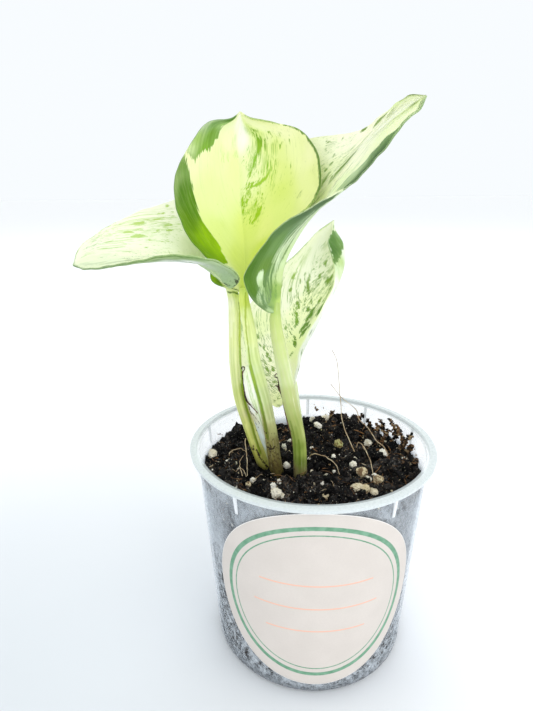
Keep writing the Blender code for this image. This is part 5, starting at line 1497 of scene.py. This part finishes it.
def sheath():
    """The thin skin from the left stalk to the centre one, bulged a little to the front."""
    obj = fresh(bpy.ops.mesh.primitive_grid_add, x_subdivisions=SHEATH_ALONG, y_subdivisions=SHEATH_ACROSS, size=2)
    name_it(obj, "stalk_sheath")
    grid = places_of(obj)
    shares, across = (grid[:, 0] + 1) / 2, grid[:, 1]
    rows = np.linspace(0, 1, SHEATH_ALONG + 1)
    edge, foot = curve(SHEATH_EDGE, rows), curve(SHEATH_FOOT, rows)
    k = np.rint(shares * SHEATH_ALONG).astype(int)
    part = ((across + 1) / 2)[:, None]
    places = edge[k] * (1 - part) + foot[k] * part
    places[:, 1] -= 0.5 * (1 - across ** 2) * np.sin(shares * math.pi) + 0.06 * np.sin(across * 14 + shares * 5)
    length = np.linalg.norm(np.diff(edge, axis=0), axis=1).sum()
    put_places(obj, places * MM)
    give(obj, "spot", "FLOAT_VECTOR", np.stack([shares, across, shares * 0], 1))
    use_modifier(obj, "SOLIDIFY", thickness=SHEATH_THICKNESS * MM, offset=0)
    where = taken(obj, "spot")[:, :2]
    colour_stalk(obj, where, SHEATH, np.array([length, 1.6]))
    tidy_mesh(obj)
    return obj


def dried_edges():
    lines = []
    for number, points in enumerate(DRIED_EDGES):
        path = curve(points, np.linspace(0, 1, 60))
        for i in range(len(path)):
            path[i, :3] += np.array(noise.noise_vector(Vector((i * 0.35, number * 3.0, 0)))) * 0.09
            path[i, 3] *= 1 + 0.5 * noise.noise(Vector((i * 0.5, number * 7.0, 2)))
        lines.append((path[:, :3], path[:, 3]))
    return strands("dried_edges", lines)


def stalk_skin(settings):
    """Smooth stalk: pale lime with fine lengthwise streaks, soil-stained and speckled at the foot."""
    f = Finish("stalk_skin")
    vein = f.attribute("vein", "Vector")
    ground, mark = f.attribute("ground", "Color"), f.attribute("mark", "Color")
    painted, dirt = f.attribute("painted", "Vector"), f.attribute("dirt")
    line, haze, dry = f.parts(painted)
    streaks = f.grain(f.stretched(vein, 1.0, 0.05, 1), 0.42, 4, 0.62)
    fine = f.grain(f.stretched(vein, 1.0, 0.3, 1, (4, 2, 1)), 0.3, 3, 0.6)
    pale_mark = f.mix(0.5, ground, mark)
    base = f.mix(f.between(streaks, 0.45, 0.68, 0.0, 0.5), ground, pale_mark)
    base = f.mix(f.between(streaks, 0.42, 0.3, 0.0, 0.35), base, display(248, 250, 222))
    base = f.mix(f.between(haze, -0.45, 0.3, 0.0, 0.85), base, pale_mark)
    edge = f.plus(line, f.between(fine, 0.3, 0.7, -0.07, 0.07))
    base = f.mix(f.between(edge, -0.22, 0.2, 0.0, 0.95), base, mark)
    speck = f.grain(f.stretched(vein, 1.0, 0.7, 1, (7, 7, 7)), 0.5, 4, 0.72)
    cut = f.less(0.76, f.times(dirt, 0.27))
    stain = f.between(f.less(speck, cut), 0.0, 0.05, 0.0, 0.85)
    base = f.mix(stain, base, display(66, 52, 32))
    grime = f.grain(f.stretched(vein, 1, 0.5, 1, (2, 9, 4)), 1.6, 4, 0.65)
    grimy = f.times(f.between(grime, 0.35, 0.65, 0.0, 0.55), f.between(dirt, 0.3, 1.0))
    base = f.mix(grimy, base, display(96, 84, 48))
    withered = f.between(f.plus(dry, f.between(speck, 0.3, 0.7, -0.16, 0.16)), -0.04, 0.06, 0.0, 0.95)
    base = f.mix(withered, base, display(52, 40, 28))
    f.set(Base_Color=base, Roughness=f.between(fine, 0.3, 0.7, 0.4, 0.54), Specular_IOR_Level=0.2)
    f.set(Subsurface_Weight=settings.glow, Subsurface_Radius=(1.0, 1.0, 0.4), Subsurface_Scale=0.8 * MM)
    f.set(Normal=f.bump(streaks, 0.09, 0.5, f.bump(fine, 0.03, 0.5)))
    return f.material


# ---------------------------------------------------------------- stage

FOCAL_PIXELS = 500.0
IMAGE_HEIGHT = 711
SENSOR = 36.0
CAMERA_PLACE = (0.0, -122.6, 121.5)
CAMERA_TURN = (-5.54, 17.69, -0.61)  # degrees to the left, down and rolled


def camera():
    obj = fresh(bpy.ops.object.camera_add)
    turn, dip, roll = (math.radians(a) for a in CAMERA_TURN)
    ahead = Vector((math.sin(turn) * math.cos(dip), math.cos(turn) * math.cos(dip), -math.sin(dip)))
    right = Vector((math.cos(turn), -math.sin(turn), 0))
    up = right.cross(ahead)
    side = math.cos(roll) * right + math.sin(roll) * up
    top = -math.sin(roll) * right + math.cos(roll) * up
    place = Matrix((side, top, -ahead)).transposed().to_4x4()
    place.translation = Vector(CAMERA_PLACE) * MM
    obj.matrix_world = place
    obj.data.lens = SENSOR * FOCAL_PIXELS / IMAGE_HEIGHT
    obj.data.sensor_width = SENSOR
    obj.data.clip_start = 0.005
    bpy.context.scene.camera = obj


def area_light(name, place, target, size, power, colour):
    obj = fresh(bpy.ops.object.light_add, type="AREA", location=place)
    obj.name = name
    obj.rotation_mode = "QUATERNION"
    obj.rotation_quaternion = (Vector(target) - Vector(place)).to_track_quat("-Z", "Y")
    obj.data.shape = "DISK"
    obj.data.size = size
    obj.data.energy = power
    obj.data.color = colour


def floor(settings):
    obj = fresh(bpy.ops.mesh.primitive_circle_add,
            vertices=64, radius=40.0, fill_type="NGON", location=(0, 0, -0.00005))
    bpy.ops.object.transform_apply(location=True, rotation=True, scale=True)
    name_it(obj, "floor")
    f = Finish("floor")
    place = f.place()
    off = f.node("VectorMath", {0: place, 1: settings.shade_place}, "Value", operation="DISTANCE")
    shade = f.times(f.between(off, settings.shade_reach, 10.0), settings.shade)
    apart = f.node("VectorMath", {0: place}, "Value", operation="LENGTH")
    paper = f.mix(f.between(apart, 400, 1400), (*settings.floor, 1), display(255, 255, 255))
    paper = f.mix(shade, paper, display(190, 197, 202))
    roughness = f.between(f.grain(place, 30, 2), 0.3, 0.7, 0.65, 0.75)
    f.set(Base_Color=paper, Roughness=roughness, Specular_IOR_Level=0.1)
    dress(obj, f.material)


# ---------------------------------------------------------------- settings, operators, panel

def tint(name, description, colour):
    return FloatVectorProperty(name=name, description=description, subtype="COLOR",
            default=colour[:3], min=0, max=1)


class PlantPotSettings(bpy.types.PropertyGroup):
    wall_colour: tint("Wall colour", "Colour of the cloudy plastic", (0.79, 0.86, 0.93))
    cloudiness: FloatProperty(name="Cloudiness", description="How much the wall veils what lies behind it",
            default=1.0, min=0.2, max=2, subtype="FACTOR")


class PlantLabelSettings(bpy.types.PropertyGroup):
    paper: tint("Paper", "Colour of the sticker", display(210, 202, 195))
    ink: tint("Border", "Colour of the border ring", display(98, 148, 118))
    rule: tint("Lines", "Colour of the ruled lines", display(236, 184, 160))
    ring: FloatProperty(name="Border radius", description="Radius of the border ring, in millimetres", default=22.4,
            min=10, max=25)


class PlantSoilSettings(bpy.types.PropertyGroup):
    dark: tint("Dark", "Colour of damp peat", display(14, 14, 16))
    brown: tint("Brown", "Colour of drier peat", display(116, 86, 58))
    dust: FloatProperty(name="Dust", description="How much grey dust lies on the peat", default=0.55, min=0, max=1,
            subtype="FACTOR")
    bark: tint("Cutting", "Colour of the buried cutting", display(132, 138, 76))
    crumbs: IntProperty(name="Crumbs", description="How many small crumbs of peat", default=1300, min=100, max=2500)
    specks: IntProperty(name="Specks", description="How many tiny specks of perlite", default=300, min=0, max=600)
    fibres: IntProperty(name="Fibres", description="How many peat fibres", default=420, min=0, max=600)
    seed: IntProperty(name="Seed", description="Which arrangement of crumbs and grains", default=7, min=0)


class PlantLeafSettings(bpy.types.PropertyGroup):
    glow: FloatProperty(name="Glow", description="How much light passes through the tissue", default=0.1, min=0,
            max=1, subtype="FACTOR")
    ragged: FloatProperty(name="Ragged edges", description="How ragged the green sectors are, in millimetres",
            default=3.2, min=0, max=8)


class PlantStageSettings(bpy.types.PropertyGroup):
    floor: tint("Floor", "Colour of the floor", display(251, 252, 254))
    shade: FloatProperty(name="Shade", description="How dark the soft shade on the floor is",
            default=0.72, min=0, max=1, subtype="FACTOR")
    shade_place: FloatVectorProperty(name="Shade place", description="Middle of the soft shade, in millimetres",
            default=(-120, -85, 0))
    shade_reach: FloatProperty(name="Shade reach", description="How far the soft shade spreads, in millimetres",
            default=255, min=20, max=1000)
    sky: FloatProperty(name="Surround", description="Strength of the even light all round",
            default=1.0, min=0, max=4)
    key: FloatProperty(name="Key light", description="Power of the large light, in watts", default=1.2, min=0,
            max=60, subtype="POWER")


class PlantOperator:
    bl_options = {"REGISTER", "UNDO"}


class PLANT_OT_pot(PlantOperator, bpy.types.Operator):
    """Makes the clear nursery pot with its rim, ribs and drain holes"""
    bl_idname = "plant.pot"
    bl_label = "Clear pot"

    def execute(self, context):
        obj = pot_shell()
        dress(obj, clear_plastic(context.scene.plant_pot))
        set_down(obj, ["pot"])
        return {"FINISHED"}


class PLANT_OT_label(PlantOperator, bpy.types.Operator):
    """Makes the round label on the wall"""
    bl_idname = "plant.label"
    bl_label = "Label"

    def execute(self, context):
        obj = plant_label()
        dress(obj, label_paper(context.scene.plant_label))
        set_down(obj, ["label"])
        return {"FINISHED"}


class PLANT_OT_soil(PlantOperator, bpy.types.Operator):
    """Makes the potting mix with its crumbs, clods, perlite and fibres"""
    bl_idname = "plant.soil"
    bl_label = "Potting mix"

    def execute(self, context):
        settings = context.scene.plant_soil
        body = potting_mix()
        dress(body, peat(settings))
        set_down(body, ["soil"])
        crumbs, grains = crumb_peat(settings), perlite_stone()
        for obj in peat_crumbs(settings):
            dress(obj, crumbs)
            set_down(obj)
        for obj in perlite(settings):
            dress(obj, grains)
            set_down(obj)
        dark, pale = fibres(settings)
        dress(dark, fibre_brown("peat_fibre", display(150, 108, 66), display(50, 38, 29)))
        dress(pale, fibre_brown("pale_fibre", display(214, 200, 172), display(150, 122, 88)))
        for obj in (dark, pale):
            set_down(obj)
        return {"FINISHED"}


class PLANT_OT_roots(PlantOperator, bpy.types.Operator):
    """Makes the dry root threads on the mix, and finishes the buried cutting"""
    bl_idname = "plant.roots"
    bl_label = "Roots"

    def execute(self, context):
        obj = root_threads()
        dress(obj, fibre_brown("dry_root", display(206, 190, 158), display(158, 134, 104)))
        set_down(obj)
        dress(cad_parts["rooted_cutting"], bark(context.scene.plant_soil))
        return {"FINISHED"}


class PLANT_OT_stalks(PlantOperator, bpy.types.Operator):
    """Makes the four leaf stalks"""
    bl_idname = "plant.stalks"
    bl_label = "Stalks"

    def execute(self, context):
        skin = stalk_skin(context.scene.plant_leaf)
        for name, facts in STALKS.items():
            obj = stalk(name, facts)
            dress(obj, skin)
            set_down(obj, [facts["node"]])
        skin_between, edges = sheath(), dried_edges()
        dress(skin_between, skin)
        dress(edges, fibre_brown("dried_edge", display(112, 84, 58), display(44, 32, 24)))
        for obj in (skin_between, edges):
            set_down(obj)
        return {"FINISHED"}


class PLANT_OT_leaves(PlantOperator, bpy.types.Operator):
    """Makes the four variegated blades"""
    bl_idname = "plant.leaves"
    bl_label = "Leaves"

    def execute(self, context):
        for name, leaf in LEAVES.items():
            obj = blade(name, leaf)
            dress(obj, leaf_skin(name + "_skin", leaf, context.scene.plant_leaf))
            set_down(obj, [leaf["node"]])
        return {"FINISHED"}


class PLANT_OT_stage(PlantOperator, bpy.types.Operator):
    """Sets up the floor, the lights, the surround and the camera"""
    bl_idname = "plant.stage"
    bl_label = "Stage"

    def execute(self, context):
        settings = context.scene.plant_stage
        floor(settings)
        area_light("key", (0.45, -0.35, 0.62), (0, 0, 0.08), 0.6, settings.key, (1, 0.985, 0.96))
        area_light("front", (-0.2, -0.75, 0.3), (0, 0, 0.09), 0.6, settings.key * 0.8, (1, 1, 1))
        area_light("side", (0.4, -0.6, 0.25), (0, 0, 0.09), 0.4, settings.key * 0.5, (1, 1, 1))
        area_light("far", (-0.1, 0.8, 1.1), (-0.1, 0.8, 0), 1.0, settings.key * 2.5, (1, 1, 1))
        world = bpy.data.worlds.new("surround")
        world.use_nodes = True
        sky = world.node_tree.nodes["Background"]
        sky.inputs["Color"].default_value = (0.94, 0.975, 1.0, 1)
        sky.inputs["Strength"].default_value = settings.sky
        context.scene.world = world
        context.scene.view_settings.view_transform = "Standard"
        camera()
        return {"FINISHED"}


class PLANT_PT_panel(bpy.types.Panel):
    """Lists the pieces and their settings"""
    bl_label = "Potted pothos"
    bl_space_type = "VIEW_3D"
    bl_region_type = "UI"
    bl_category = "Pothos"

    def draw(self, context):
        for operator, group in STEPS:
            self.layout.operator(operator)
            if group:
                settings = getattr(context.scene, group)
                for key in settings.__annotations__:
                    self.layout.prop(settings, key)


STEPS = [("plant.stage", "plant_stage"), ("plant.pot", "plant_pot"), ("plant.label", "plant_label"),
        ("plant.soil", "plant_soil"), ("plant.roots", None), ("plant.stalks", None),
        ("plant.leaves", "plant_leaf")]
GROUPS = {"plant_pot": PlantPotSettings, "plant_label": PlantLabelSettings, "plant_soil": PlantSoilSettings,
        "plant_leaf": PlantLeafSettings, "plant_stage": PlantStageSettings}
OPERATORS = (PLANT_OT_pot, PLANT_OT_label, PLANT_OT_soil, PLANT_OT_roots, PLANT_OT_stalks, PLANT_OT_leaves,
        PLANT_OT_stage, PLANT_PT_panel)


def register():
    for key, group in GROUPS.items():
        bpy.utils.register_class(group)
        setattr(bpy.types.Scene, key, PointerProperty(type=group))
    for entry in OPERATORS:
        bpy.utils.register_class(entry)


def unregister():
    for entry in reversed(OPERATORS):
        bpy.utils.unregister_class(entry)
    for key, group in GROUPS.items():
        delattr(bpy.types.Scene, key)
        bpy.utils.unregister_class(group)


def main():
    register()
    for operator, _ in STEPS:
        kind, name = operator.split(".")
        getattr(getattr(bpy.ops, kind), name)()
    bpy.context.view_layer.update()


if __name__ == "__main__":
    main()
